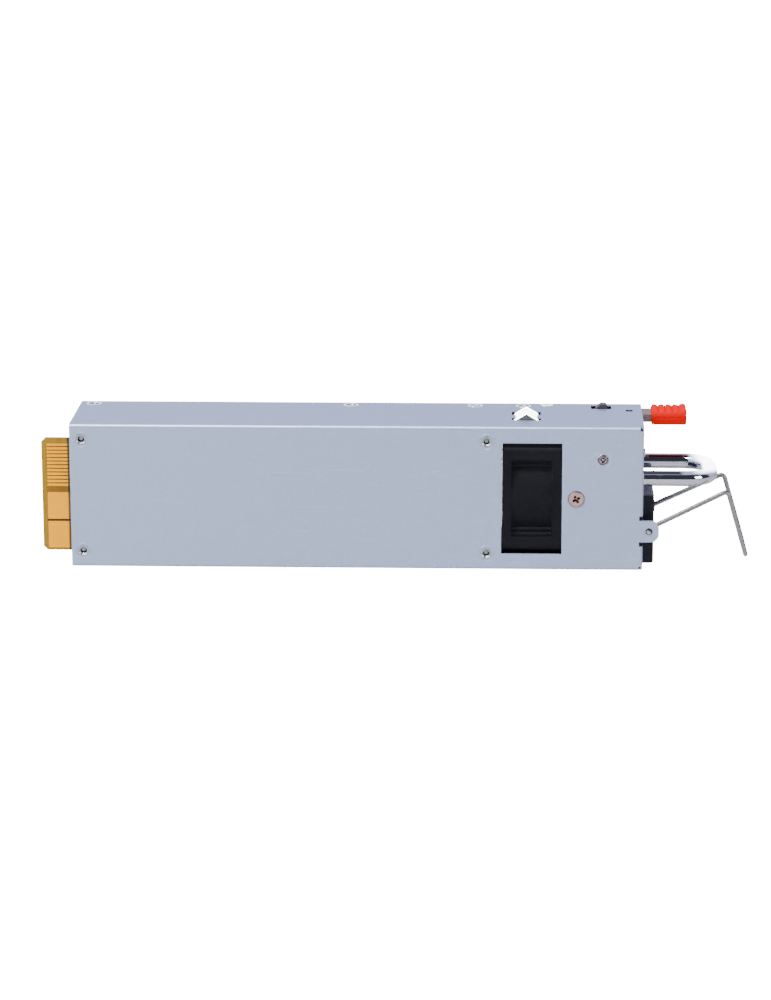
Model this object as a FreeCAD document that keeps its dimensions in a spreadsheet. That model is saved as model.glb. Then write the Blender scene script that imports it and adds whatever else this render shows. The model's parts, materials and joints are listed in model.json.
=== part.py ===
import FreeCAD, Part
import math
import os
import Sketcher

# Hot swap server power supply, standing on its narrow side.
# +X runs from the card edge to the handle, +Y from the board side to the cover, +Z up.
# The origin is the middle of the narrow wall that it stands on. Millimetres.

SIZES = {
    # case
    "case_length": 212.5,
    "case_depth": 40.25,
    "case_height": 54.5,
    "gauge": 0.8,
    "bend_radius": 1.2,
    "seam": 0.05,
    "flange_width": 8.0,
    "corner_relief": 1.5,
    # pivot ears on both wide walls
    "ear_reach": 5.95,
    "ear_height": 8.2,
    "ear_level": 15.0,
    "ear_corner": 3.2,
    "ear_relief": 1.4,
    "ear_relief_height": 1.7,
    "ear_relief_depth": 3.0,
    "pivot_out": 2.25,
    "pivot_hole_radius": 1.3,
    # vents
    "vent_radius": 2.0,
    "vent_pitch": 4.6,
    "vent_y": -3.5,
    "vent_drop": 0.85,
    "rear_vent_y": 4.0,
    # flush screws that hold the cover
    "flush_head_radius": 2.9,
    "flush_head_depth": 1.5,
    "thread_radius": 1.5,
    "flush_length": 4.0,
    "flush_inset": 4.0,
    "flush_rear_inset": 5.15,
    "flush_middle_shift": 3.4,
    "flush_second_setback": 62.65,
    "flush_front_setback": 44.45,
    "flange_bore_play": 0.6,
    "screw_play": 0.08,
    "thread_play": 0.02,
    # board, its standoffs and contacts
    "standoff_height": 4.6,
    "standoff_radius": 2.2,
    "standoff_bore": 1.25,
    "standoff_rear_inset": 4.25,
    "standoff_front_setback": 58.05,
    "standoff_foot_inset": 6.2,
    "standoff_top_inset": 5.8,
    "board_screw_reach": 3.1,
    "board_thickness": 1.6,
    "board_front_setback": 53.65,
    "board_edge_gap": 2.0,
    "tongue_reach": 11.2,
    "tongue_foot_inset": 5.0,
    "tongue_top_inset": 6.5,
    "tongue_chamfer": 1.5,
    "tongue_play": 0.6,
    "contact_thickness": 0.08,
    "contact_inset": 2.0,
    "finger_pitch": 1.39,
    "finger_width": 0.9,
    "finger_inset": 2.6,
    "power_pad_gap": 0.9,
    "power_pad_space": 2.46,
    "film_thickness": 0.25,
    # fan
    "fan_setback": 41.25,
    "fan_size": 40.0,
    "fan_thickness": 22.0,
    "fan_bore_radius": 18.9,
    "fan_wall": 0.9,
    "fan_flange": 3.4,
    "fan_post": 5.4,
    "fan_corner": 2.5,
    "fan_hole_pitch": 32.8,
    "fan_hole_radius": 1.5,
    "window_length": 22.4,
    "window_height": 42.0,
    "hub_radius": 11.0,
    "hub_length": 11.5,
    "hub_wall": 0.9,
    "motor_base_depth": 2.0,
    "motor_base_lip": 0.4,
    "motor_arm_width": 2.2,
    "blade_root_sink": 0.75,
    "blade_root_chord": 10.0,
    "blade_tip_chord": 12.0,
    "blade_camber": 0.9,
    "blade_reach": 17.5,
    "blade_thickness": 0.9,
    "shaft_radius": 1.0,
    "shaft_play": 0.05,
    "shaft_inset": 0.4,
    "running_gap": 0.6,
    # fan bracket and its screw
    "bracket_foot": 10.0,
    "bracket_strap": 7.3,
    "fan_screw_length": 8.0,
    "small_head_radius": 2.0,
    "small_head_height": 1.8,
    "bracket_screw_setback": 24.75,
    "wafer_head_radius": 2.9,
    "wafer_head_height": 0.75,
    "wafer_length": 5.0,
    "wafer_edge": 0.35,
    # earth stud
    "stud_setback": 15.05,
    "stud_drop": 12.3,
    "stud_head_radius": 2.1,
    "stud_proud": 0.25,
    "stud_dish_depth": 0.55,
    "stud_dish_radius": 1.3,
    "stud_dish_floor": 0.75,
    "stud_length": 8.0,
    "nut_radius": 3.1,
    "nut_height": 2.4,
    "terminal_gauge": 0.8,
    "terminal_radius": 3.4,
    "terminal_reach": 8.0,
    "terminal_neck_width": 2.4,
    "terminal_neck_top": 2.4,
    "barrel_width": 2.8,
    "barrel_top": 4.2,
    # grounding clip on the top wall
    "clip_setback": 43.35,
    "clip_y": -1.9,
    "clip_window_length": 10.8,
    "clip_window_width": 13.9,
    "clip_length": 8.6,
    "clip_width": 13.2,
    "clip_rise": 2.2,
    "clip_gauge": 0.3,
    "clip_neck": 3.9,
    "clip_foot": 1.6,
    "clip_slit": 0.9,
    # latch
    "latch_pivot_setback": 31.75,
    "latch_near_y": 7.5,
    "latch_width": 10.8,
    "latch_gauge": 0.8,
    "latch_drop": 0.45,
    "latch_flange": 2.9,
    "latch_travel": 8.2,
    "latch_side_gap": 0.4,
    "leaf_gauge": 0.3,
    "leaf_rear_setback": 40.25,
    "leaf_front_setback": 22.25,
    "leaf_inset": 1.5,
    "rivet_setback": 35.6,
    "rivet_radius": 1.5,
    "rivet_shift": 0.8,
    "rivet_head_radius": 2.5,
    "rivet_crown_radius": 2.1,
    "rivet_head_height": 0.35,
    "rivet_foot_radius": 2.4,
    "rivet_foot_height": 0.8,
    "rivet_dish_depth": 0.65,
    "rivet_dish_radius": 1.4,
    "rivet_dish_floor": 0.8,
    "catch_setback": 17.45,
    "catch_length": 4.5,
    "catch_height": 1.5,
    "catch_width": 4.2,
    "catch_y": 13.6,
    "catch_slot_length": 7.6,
    "catch_slot_width": 5.2,
    "catch_bevel": 0.5,
    "catch_toe": 0.3,
    "grip_standout": 3.85,
    "grip_length": 12.6,
    "grip_height": 4.5,
    "grip_crown": 0.7,
    "grip_overhang": 0.9,
    "grip_tooth": 1.05,
    "grip_edge": 0.6,
    "ridge_inset": 0.45,
    "end_ridge_rise": 0.3,
    "sleeve_end": 2.0,
    "small_slot_setback": 4.75,
    "small_slot_length": 2.6,
    "small_slot_width": 2.4,
    # mains inlet
    "inlet_width": 26.8,
    "inlet_height": 26.9,
    "inlet_level": 14.35,
    "inlet_reach": 4.3,
    "inlet_depth": 18.0,
    "inlet_step": 0.9,
    "bezel_edge": 1.2,
    "socket_width": 24.4,
    "socket_height": 16.4,
    "socket_depth": 16.4,
    "socket_chamfer": 4.6,
    "pin_pitch": 14.0,
    "pin_offset": 4.0,
    "pin_thickness": 2.0,
    "pin_height": 4.0,
    "pin_recess": 1.4,
    "pin_tail": 4.0,
    # handle
    "handle_lift": 6.1,
    "handle_spread": 28.4,
    "handle_reach": 27.95,
    "handle_radius": 2.85,
    "handle_corner": 9.0,
    "handle_bore_depth": 7.0,
    "handle_screw_length": 6.5,
    "pan_head_height": 2.0,
    # wire bail that holds the mains plug
    "bail_radius": 0.9,
    "bail_bend": 2.0,
    "bail_root_y": 15.8,
    "bail_end_y": 13.8,
    "bail_arm_x": 29.2,
    "bail_arm_z": 14.2,
    "bail_leg_x": 7.1,
    "bail_leg_z": 24.5,
    "bail_stub": 0.55,
    # lead wires
    "lead_radius": 1.2,
    "fan_lead_radius": 0.6,
    "lead_clearance": 0.4,
    "lead_rise": 3.0,
    "lead_run": 3.2,
    "lead_shift": 6.0,
    "board_lead_reach": 2.2,
    "earth_lead_run": 2.6,
    "earth_lead_side": 9.0,
    "fan_lead_clearance": 0.5,
    "fan_lead_y": -9.0,
    "fan_lead_pitch": 1.4,
    "fan_lead_drop": 8.0,
    "fan_lead_bend": 1.2,
    "fan_lead_overlap": 3.0,
    # electronics on the board
    "row_spare": 2.6,
    "row_edge_gap": 1.2,
    "part_gap": 1.5,
    "solder_gap": 0.2,
    "relay_length": 12.0,
    "relay_height": 15.0,
    "relay_width": 15.0,
    "fuse_radius": 3.0,
    "fuse_length": 20.0,
    "fuse_inset": 1.5,
    "choke_radius": 9.0,
    "choke_bore": 4.5,
    "choke_height": 9.0,
    "winding_wrap": 1.4,
    "film_cap_length": 10.0,
    "film_cap_height": 16.0,
    "disc_radius": 4.5,
    "disc_thickness": 3.0,
    "bridge_length": 4.5,
    "bridge_height": 20.0,
    "bridge_width": 24.0,
    "pfc_radius": 11.0,
    "pfc_bore": 5.5,
    "pfc_height": 13.0,
    "bulk_spare": 1.7,
    "bulk_length": 31.0,
    "sink_plate": 2.0,
    "sink_height": 26.0,
    "sink_length": 34.0,
    "sink_fin_reach": 5.0,
    "sink_fin": 1.2,
    "sink_fin_pitch": 4.0,
    "transistor_length": 10.0,
    "transistor_height": 14.0,
    "transistor_thickness": 3.0,
    "transistor_inset": 0.6,
    "transistor_gap": 1.0,
    "core_length": 24.0,
    "core_height": 24.0,
    "core_width": 26.0,
    "coil_wrap": 2.2,
    "coil_gap": 0.3,
    "inductor_length": 12.0,
    "inductor_height": 14.0,
    "inductor_width": 18.0,
    "inductor_inset": 4.0,
    "output_cap_radius": 3.5,
    "output_cap_height": 18.0,
    "output_cap_gap": 0.6,
    "control_board_length": 36.0,
    "control_board_height": 22.0,
    "control_board_thickness": 1.2,
    "chip_height": 1.4,
    "chip_length": 7.0,
    "led_radius": 1.5,
    "led_y": -15.5,
    "led_setback": 4.0,
    "led_proud": 0.6,
    "led_collar": 1.2,
    "led_collar_lip": 0.9,
}

# Counts, angles and parts of a turn.
FINGERS = 12
BLADES = 7
GRIP_TEETH = 5
FACE_VENT_COUNTS = (4, 5)
REAR_VENT_COUNTS = (5, 10)
SINK_FIN_COUNT = 3
TRANSISTOR_COUNT = 3
CHIP_COUNT = 3
ROW_GAPS = 7
ROOT_ANGLE = 38
TIP_ANGLE = 52
ARM_ANGLES = (20, 140, 260)
QUARTER = 90
FULL = 360
LIGHT_SHARE = 0.49
LANE_SHARE = 0.35
LEAD_BEND = 1.3
SLIT_SHARE = 0.85
RIDGE_SKINS = 1.25
CATCH_SHOULDER = 0.45
RIDGE_SINK = 0.4
RIDGE_ROUND = 1.45

doc = FreeCAD.newDocument("power_supply")
sheet = doc.addObject("Spreadsheet::Sheet", "sizes")


class Size:
    """A number and the sheet formula behind it, so that plain arithmetic keeps both."""

    def __init__(self, number, formula):
        self.number = number
        self.formula = formula

    def __add__(self, other):
        other = as_size(other)
        return Size(self.number + other.number, f"({self.formula} + {other.formula})")

    def __sub__(self, other):
        other = as_size(other)
        return Size(self.number - other.number, f"({self.formula} - {other.formula})")

    def __mul__(self, other):
        other = as_size(other)
        return Size(self.number * other.number, f"({self.formula} * {other.formula})")

    def __truediv__(self, other):
        other = as_size(other)
        return Size(self.number / other.number, f"({self.formula} / {other.formula})")

    def __neg__(self):
        return self * -1

    def __rsub__(self, other):
        return as_size(other) - self

    __radd__ = __add__
    __rmul__ = __mul__


def as_size(value):
    if isinstance(value, Size):
        return value
    return Size(float(value), f"({float(value)})")


class Values:
    """The sheet's aliases, read as sizes: values.gauge is the sheet's gauge."""

    def __init__(self, sizes):
        for row, (name, number) in enumerate(sizes.items(), 1):
            sheet.set(f"A{row}", name)
            sheet.set(f"B{row}", str(number))
            sheet.setAlias(f"B{row}", name)
            setattr(self, name, Size(number, f"sizes.{name}"))


v = Values(SIZES)
doc.recompute()

# Planes of the case that everything else is placed from.
FRONT = v.case_length / 2
BACK = -FRONT
FAR = v.case_depth / 2
NEAR = -FAR
TOP = v.case_height
INNER_FRONT = FRONT - v.gauge
INNER_NEAR = NEAR + v.gauge
INNER_FAR = FAR - v.gauge
INNER_TOP = TOP - v.gauge
BOARD_NEAR = INNER_NEAR + v.standoff_height
BOARD_FAR = BOARD_NEAR + v.board_thickness
FLUSH_Y = FAR - v.flush_inset
FLUSH_XS = (
    BACK + v.flush_rear_inset,
    (BACK + FRONT) / 2 - v.flush_middle_shift,
    FRONT - v.flush_second_setback,
    FRONT - v.flush_front_setback,
)
STANDOFF_XS = (BACK + v.standoff_rear_inset, FRONT - v.standoff_front_setback)
STANDOFF_ZS = (v.standoff_foot_inset, TOP - v.standoff_top_inset)
BOARD_FRONT = FRONT - v.board_front_setback
TONGUE_ZS = (v.tongue_foot_inset, TOP - v.tongue_top_inset)
FAN_X = FRONT - v.fan_setback
FAN_FACE_X = FAN_X + v.fan_thickness / 2
FAN_Z = TOP / 2
BRACKET_SCREW_X = FRONT - v.bracket_screw_setback
STUD_X = FRONT - v.stud_setback
STUD_Z = TOP - v.stud_drop
CLIP_X = FRONT - v.clip_setback
PIVOT_X = FRONT + v.pivot_out
LATCH_PIVOT_X = FRONT - v.latch_pivot_setback
LATCH_TOP = INNER_TOP - v.latch_drop
LATCH_FAR_Y = v.latch_near_y + v.latch_width
LEAF_REAR_X = FRONT - v.leaf_rear_setback
CATCH_X = FRONT - v.catch_setback
GRIP_X = FRONT + v.grip_standout
RIVET_X = FRONT - v.rivet_setback
RIVET_Y = FLUSH_Y + v.rivet_shift
BEZEL_TOP = v.inlet_level + v.inlet_height / 2
HANDLE_Z = BEZEL_TOP + v.handle_lift
LIGHT_Z = HANDLE_Z + (TOP - HANDLE_Z) * LIGHT_SHARE


# ---------------------------------------------------------------- building blocks


def bind(thing, path, value):
    thing.setExpression(path, as_size(value).formula)


def place(thing, at):
    for axis, value in zip("xyz", at):
        bind(thing, f"Placement.Base.{axis}", value)


def box(name, xs, ys, zs):
    """A block between a low and a high limit on each axis."""
    block = doc.addObject("Part::Box", name)
    place(block, (xs[0], ys[0], zs[0]))
    bind(block, "Length", as_size(xs[1]) - xs[0])
    bind(block, "Width", as_size(ys[1]) - ys[0])
    bind(block, "Height", as_size(zs[1]) - zs[0])
    return block


TURNS = {
    "x": FreeCAD.Rotation(FreeCAD.Vector(0, 1, 0), QUARTER),
    "y": FreeCAD.Rotation(FreeCAD.Vector(1, 0, 0), -QUARTER),
    "z": FreeCAD.Rotation(),
}


def rod(name, axis, at, length, radius):
    """A cylinder that starts at a point and runs along +axis."""
    bar = doc.addObject("Part::Cylinder", name)
    bar.Placement.Rotation = TURNS[axis]
    place(bar, at)
    bind(bar, "Height", length)
    bind(bar, "Radius", radius)
    return bar


def cone(name, axis, at, length, radius, end_radius):
    taper = doc.addObject("Part::Cone", name)
    taper.Placement.Rotation = TURNS[axis]
    place(taper, at)
    bind(taper, "Height", length)
    bind(taper, "Radius1", radius)
    bind(taper, "Radius2", end_radius)
    return taper


def hexagon(name, axis, at, length, radius):
    prism = doc.addObject("Part::Prism", name)
    prism.Polygon = 6
    prism.Placement.Rotation = TURNS[axis]
    place(prism, at)
    bind(prism, "Height", length)
    bind(prism, "Circumradius", radius)
    return prism


def group(name, members):
    """Separate solids kept under one name."""
    bundle = doc.addObject("Part::Compound", name)
    bundle.Links = list(members)
    return bundle


def fuse(name, *members):
    joined = doc.addObject("Part::MultiFuse", name)
    joined.Shapes = list(members)
    return joined


def cut(name, base, *tools):
    """The base with every tool taken out of it."""
    tool = tools[0]
    if len(tools) > 1:
        tool = fuse(f"{name}_tools", *tools)
    result = doc.addObject("Part::Cut", name)
    result.Base = base
    result.Tool = tool
    return result


def new_body(name):
    return doc.addObject("PartDesign::Body", name)


NORMAL_SIGN = {"XY": 1, "YZ": 1, "XZ": -1}


def new_sketch(body, name, plane, level=0):
    """A sketch on a plane of the body's own origin, moved along its normal to a level."""
    sketch = body.newObject("Sketcher::SketchObject", name)
    role = f"{plane}_Plane"
    support = [item for item in body.Origin.OriginFeatures if item.Role == role][0]
    sketch.AttachmentSupport = [(support, "")]
    sketch.MapMode = "FlatFace"
    bind(sketch, "AttachmentOffset.Base.z", as_size(level) * NORMAL_SIGN[plane])
    return sketch


def pin_point(sketch, geometry, point, at):
    """Ties one point of a sketch to two sizes measured from the sketch's origin."""
    for kind, value in zip(("DistanceX", "DistanceY"), at):
        value = as_size(value)
        rule = Sketcher.Constraint(kind, -1, 1, geometry, point, value.number)
        index = sketch.addConstraint(rule)
        sketch.setExpression(f"Constraints[{index}]", value.formula)


def draw_polygon(sketch, points):
    spots = [FreeCAD.Vector(as_size(u).number, as_size(w).number, 0) for u, w in points]
    first = sketch.GeometryCount
    lines = [Part.LineSegment(a, b) for a, b in zip(spots, spots[1:] + spots[:1])]
    sketch.addGeometry(lines, False)
    count = len(points)
    joins = []
    for index in range(count):
        following = first + (index + 1) % count
        joins.append(Sketcher.Constraint("Coincident", first + index, 2, following, 1))
    sketch.addConstraint(joins)
    for index, at in enumerate(points):
        pin_point(sketch, first + index, 1, at)


def draw_rectangle(sketch, us, ws):
    corners = [(us[0], ws[0]), (us[1], ws[0]), (us[1], ws[1]), (us[0], ws[1])]
    draw_polygon(sketch, corners)


def draw_circle(sketch, at, radius):
    radius = as_size(radius)
    centre = FreeCAD.Vector(as_size(at[0]).number, as_size(at[1]).number, 0)
    ring = Part.Circle(centre, FreeCAD.Vector(0, 0, 1), radius.number)
    index = sketch.addGeometry(ring, False)
    pin_point(sketch, index, 3, at)
    rule = sketch.addConstraint(Sketcher.Constraint("Radius", index, radius.number))
    sketch.setExpression(f"Constraints[{rule}]", radius.formula)


def pad(body, name, sketch, length, plane, toward=1):
    feature = body.newObject("PartDesign::Pad", name)
    feature.Profile = sketch
    bind(feature, "Length", length)
    feature.Reversed = NORMAL_SIGN[plane] * toward < 0
    return feature


def pocket(body, name, sketch, length, plane, toward=-1):
    feature = body.newObject("PartDesign::Pocket", name)
    feature.Profile = sketch
    bind(feature, "Length", length)
    feature.Reversed = NORMAL_SIGN[plane] * toward > 0
    return feature


def round_edges(body, name, base, radius, chosen):
    """Fillets the edges of a feature that pass the chosen test."""
    doc.recompute()
    names = []
    for index, edge in enumerate(base.Shape.Edges, 1):
        if chosen(edge):
            names.append(f"Edge{index}")
    feature = body.newObject("PartDesign::Fillet", name)
    feature.Base = (base, names)
    bind(feature, "Radius", radius)
    return feature


def close(one, two):
    return abs(one - as_size(two).number) < 1e-4


def runs_along(edge, axis, **fixed):
    """True for an edge along one axis whose other coordinates have the fixed values."""
    bounds = edge.BoundBox
    lows = {"x": bounds.XMin, "y": bounds.YMin, "z": bounds.ZMin}
    highs = {"x": bounds.XMax, "y": bounds.YMax, "z": bounds.ZMax}
    for name in "xyz":
        if name == axis:
            if highs[name] - lows[name] < 1e-3:
                return False
        elif highs[name] - lows[name] > 1e-3:
            return False
    return all(close(lows[name], value) for name, value in fixed.items())


def bent_rod(name, points, bend, radius):
    """A round rod along straight runs joined by arcs of one bend radius."""
    corners = [FreeCAD.Vector(*[as_size(c).number for c in p]) for p in points]
    bend = as_size(bend).number
    path = []
    here = corners[0]
    for before, corner, after in zip(corners, corners[1:], corners[2:]):
        inward = (before - corner).normalize()
        onward = (after - corner).normalize()
        half_angle = inward.getAngle(onward) / 2
        setback = bend / math.tan(half_angle)
        start = corner + inward * setback
        end = corner + onward * setback
        middle_line = (inward + onward).normalize()
        centre = corner + middle_line * (bend / math.sin(half_angle))
        middle = centre - middle_line * bend
        path.append(Part.LineSegment(here, start).toShape())
        path.append(Part.Arc(start, middle, end).toShape())
        here = end
    path.append(Part.LineSegment(here, corners[-1]).toShape())
    direction = corners[1] - corners[0]
    ring = Part.Circle(corners[0], direction, as_size(radius).number)
    section = Part.Wire([ring.toShape()])
    swept = Part.Wire(path).makePipeShell([section], True, False)
    item = doc.addObject("Part::Feature", name)
    item.Shape = swept
    return item


# ---------------------------------------------------------------- sheet metal case


def flush_cones(name, extra):
    """Countersinks in the top and bottom walls, or the screw heads when extra is 0."""
    cones = []
    mouth = v.flush_head_radius + extra
    throat = v.thread_radius + extra
    for index, x in enumerate(FLUSH_XS):
        at_top = (x, FLUSH_Y, TOP - v.flush_head_depth)
        cones.append(cone(f"{name}_t{index}", "z", at_top, v.flush_head_depth, throat, mouth))
        at_foot = (x, FLUSH_Y, 0)
        cones.append(cone(f"{name}_b{index}", "z", at_foot, v.flush_head_depth, mouth, throat))
    return cones


def vent_prisms(name, start_x, centre_y, centre_z, grid, depth):
    """Staggered hexagonal air holes through a wall across X."""
    columns, rows = grid
    prisms = []
    row_pitch = v.vent_pitch * math.sin(math.radians(60))
    for row in range(rows):
        shift = 0.5 * (row % 2)
        for column in range(columns - row % 2):
            y = centre_y + v.vent_pitch * (column + shift - (columns - 1) / 2)
            z = centre_z + row_pitch * (row - (rows - 1) / 2)
            at = (start_x, y, z)
            prisms.append(hexagon(f"{name}_{row}_{column}", "x", at, depth, v.vent_radius))
    return prisms


def draw_standoff_circles(sketch, radius):
    for x in STANDOFF_XS:
        for z in STANDOFF_ZS:
            draw_circle(sketch, (x, z), radius)


def draw_fan_window(sketch):
    half_length = v.window_length / 2
    half_height = v.window_height / 2
    draw_rectangle(
        sketch,
        (FAN_X - half_length, FAN_X + half_length),
        (FAN_Z - half_height, FAN_Z + half_height),
    )


def add_ear(body, plane_level, toward):
    """A rounded pivot ear that carries on from a wide wall past the front."""
    half = v.ear_height / 2
    outline = new_sketch(body, f"ear_outline_{toward}", "XZ", plane_level)
    draw_rectangle(
        outline,
        (FRONT - v.ear_relief - v.gauge, FRONT + v.ear_reach),
        (v.ear_level - half, v.ear_level + half),
    )
    ear = pad(body, f"ear_{toward}", outline, v.gauge, "XZ", toward)
    tip = FRONT + v.ear_reach
    round_edges(
        body, f"ear_corners_{toward}", ear, v.ear_corner, lambda e: runs_along(e, "y", x=tip)
    )
    hole = new_sketch(body, f"ear_hole_outline_{toward}", "XZ", plane_level)
    draw_circle(hole, (PIVOT_X, v.ear_level), v.pivot_hole_radius)
    pocket(body, f"ear_hole_{toward}", hole, v.gauge, "XZ", toward)


def make_chassis():
    body = new_body("chassis_fold")
    outline = new_sketch(body, "tray_outline", "YZ", BACK)
    draw_rectangle(outline, (NEAR, FAR), (0, TOP))
    block = pad(body, "tray_block", outline, v.case_length, "YZ")

    def is_bend(edge):
        if runs_along(edge, "x", y=NEAR):
            return True
        return runs_along(edge, "z", x=FRONT, y=NEAR)

    round_edges(body, "outer_bends", block, v.bend_radius, is_bend)
    hollow = new_sketch(body, "hollow_outline", "YZ", BACK)
    draw_rectangle(hollow, (INNER_NEAR, FAR + v.gauge), (v.gauge, INNER_TOP))
    inside = pocket(body, "hollow", hollow, v.case_length - v.gauge, "YZ", 1)

    def is_inner_bend(edge):
        return runs_along(edge, "x", y=INNER_NEAR) or runs_along(edge, "z", y=INNER_NEAR)

    round_edges(body, "inner_bends", inside, v.bend_radius - v.gauge, is_inner_bend)

    side = new_sketch(body, "side_outline", "XZ", NEAR)
    draw_fan_window(side)
    draw_standoff_circles(side, v.standoff_radius)
    draw_circle(side, (BRACKET_SCREW_X, FAN_Z), v.thread_radius + v.screw_play)
    draw_circle(side, (STUD_X, STUD_Z), v.stud_head_radius)
    pocket(body, "side_openings", side, v.gauge, "XZ", 1)

    top = new_sketch(body, "top_outline", "XY", TOP)
    draw_rectangle(
        top,
        (CLIP_X - v.clip_window_length / 2, CLIP_X + v.clip_window_length / 2),
        (v.clip_y - v.clip_window_width / 2, v.clip_y + v.clip_window_width / 2),
    )
    catch_middle = CATCH_X + v.catch_length / 2
    draw_rectangle(
        top,
        (catch_middle - v.catch_slot_length / 2, catch_middle + v.catch_slot_length / 2),
        (v.catch_y - v.catch_slot_width / 2, v.catch_y + v.catch_slot_width / 2),
    )
    draw_circle(top, (RIVET_X, RIVET_Y), v.rivet_radius)
    slot_x = FRONT - v.small_slot_setback
    slot_y = v.latch_near_y - v.latch_side_gap
    draw_rectangle(
        top,
        (slot_x - v.small_slot_length / 2, slot_x + v.small_slot_length / 2),
        (slot_y, slot_y + v.small_slot_width),
    )
    pocket(body, "top_openings", top, v.gauge, "XY", -1)

    face = new_sketch(body, "face_outline", "YZ", FRONT)
    wide = v.inlet_width / 2 - v.inlet_step + v.screw_play
    high = v.inlet_height / 2 - v.inlet_step + v.screw_play
    draw_rectangle(face, (-wide, wide), (v.inlet_level - high, v.inlet_level + high))
    press = math.tan(math.radians(v.latch_travel.number))
    drop = v.latch_pivot_setback * press
    latch_low = LATCH_TOP - v.latch_flange - drop - v.latch_side_gap
    draw_rectangle(
        face,
        (v.latch_near_y - v.latch_side_gap, LATCH_FAR_Y + v.latch_side_gap),
        (latch_low, INNER_TOP),
    )
    for side_sign in (-1, 1):
        leg_y = v.handle_spread / 2 * side_sign
        draw_circle(face, (leg_y, HANDLE_Z), v.thread_radius + v.screw_play)
    draw_circle(face, (v.led_y, LIGHT_Z), v.led_radius + v.screw_play)
    pocket(body, "face_openings", face, v.gauge, "YZ", -1)

    edge = new_sketch(body, "face_edge_outline", "YZ", FRONT)
    draw_rectangle(edge, (INNER_FAR - v.seam, FAR + v.gauge), (v.gauge, INNER_TOP))
    pocket(body, "face_edge", edge, v.gauge, "YZ", -1)

    relief_xs = (FRONT - v.ear_relief, FRONT + v.gauge)
    ear_relief = new_sketch(body, "ear_relief_outline", "XZ", NEAR)
    ear_low = v.ear_level - v.ear_height / 2
    ear_high = v.ear_level + v.ear_height / 2
    draw_rectangle(ear_relief, relief_xs, (ear_low - v.ear_relief_height, ear_low))
    draw_rectangle(ear_relief, relief_xs, (ear_high, ear_high + v.ear_relief_height))
    pocket(body, "ear_reliefs", ear_relief, v.ear_relief_depth, "XZ", 1)
    corners = new_sketch(body, "relief_outline", "XZ", NEAR)
    draw_rectangle(corners, relief_xs, (TOP - v.corner_relief, TOP + v.gauge))
    draw_rectangle(corners, relief_xs, (-v.gauge, v.corner_relief))
    pocket(body, "bend_reliefs", corners, v.bend_radius + v.seam, "XZ", 1)
    add_ear(body, NEAR, 1)

    vent_z = (BEZEL_TOP + INNER_TOP) / 2 - v.vent_drop
    vents = vent_prisms(
        "face_vent", INNER_FRONT - 1, v.vent_y, vent_z, FACE_VENT_COUNTS, v.gauge + 2
    )
    vent_tool = group("face_vents", vents)
    sinks = group("wall_sinks", flush_cones("wall_sink", v.seam))
    vented = cut("chassis_vented", body, vent_tool)
    return cut("chassis", vented, sinks)


def make_cover():
    body = new_body("cover_fold")
    low = v.gauge + v.seam
    high = INNER_TOP - v.seam
    flange_y = FAR - v.flange_width - v.gauge
    outline = new_sketch(body, "cover_outline", "YZ", BACK)
    draw_rectangle(outline, (flange_y, FAR), (low, high))
    block = pad(body, "cover_block", outline, INNER_FRONT - v.seam - BACK, "YZ")
    round_edges(
        body, "cover_bends", block, v.bend_radius, lambda e: runs_along(e, "x", y=FAR)
    )
    hollow = new_sketch(body, "cover_hollow_outline", "YZ", BACK)
    draw_rectangle(hollow, (flange_y - 1, INNER_FAR), (low + v.gauge, high - v.gauge))
    pocket(body, "cover_hollow", hollow, v.case_length, "YZ", 1)

    rear = new_sketch(body, "rear_outline", "YZ", BACK)
    inner_bend = v.bend_radius - v.gauge
    draw_rectangle(
        rear, (INNER_NEAR + inner_bend + v.seam, INNER_FAR + v.gauge / 2), (low, high)
    )
    pad(body, "rear_wall", rear, v.gauge, "YZ")

    slot = new_sketch(body, "tongue_slot_outline", "YZ", BACK)
    draw_rectangle(
        slot,
        (BOARD_NEAR - v.tongue_play, BOARD_FAR + v.tongue_play),
        (TONGUE_ZS[0] - v.tongue_play, TONGUE_ZS[1] + v.tongue_play),
    )
    pocket(body, "tongue_slot", slot, v.gauge, "YZ", 1)

    side = new_sketch(body, "cover_side_outline", "XZ", FAR)
    draw_fan_window(side)
    pocket(body, "cover_window", side, v.gauge, "XZ", -1)

    trim = new_sketch(body, "flange_trim_outline", "XY", high)
    draw_rectangle(trim, (LEAF_REAR_X - 1, FRONT), (flange_y - 1, INNER_FAR))
    pocket(body, "flange_trim", trim, v.gauge, "XY", -1)

    lip = new_sketch(body, "front_lip_outline", "XZ", FAR)
    draw_rectangle(
        lip,
        (INNER_FRONT - v.seam - v.gauge, FRONT),
        (low + v.bend_radius, high - v.bend_radius),
    )
    pad(body, "front_lip", lip, v.gauge, "XZ", -1)
    add_ear(body, FAR, -1)

    bores = []
    bore_radius = v.thread_radius + v.flange_bore_play
    for index, x in enumerate(FLUSH_XS):
        bores.append(rod(f"flange_bore_{index}", "z", (x, FLUSH_Y, 0), TOP, bore_radius))
    vents = vent_prisms(
        "rear_vent", BACK - 1, v.rear_vent_y, TOP / 2, REAR_VENT_COUNTS, v.gauge + 2
    )
    bored = cut("cover_bored", body, group("flange_bores", bores))
    return cut("cover", bored, group("rear_vents", vents))


def make_cover_screws():
    """Countersunk screws through the narrow walls into the cover's flanges."""
    screws = []
    heads = flush_cones("flush_head", 0)
    shank = v.flush_length - v.flush_head_depth
    for index, head in enumerate(heads):
        x = FLUSH_XS[index // 2]
        at_foot = index % 2 == 1
        start = v.flush_head_depth if at_foot else TOP - v.flush_length
        bar = rod(f"flush_shank_{index}", "z", (x, FLUSH_Y, start), shank, v.thread_radius)
        screws.append(fuse(f"flush_screw_{index}", head, bar))
    return group("cover_screws", screws)


# ---------------------------------------------------------------- board and contacts


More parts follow.
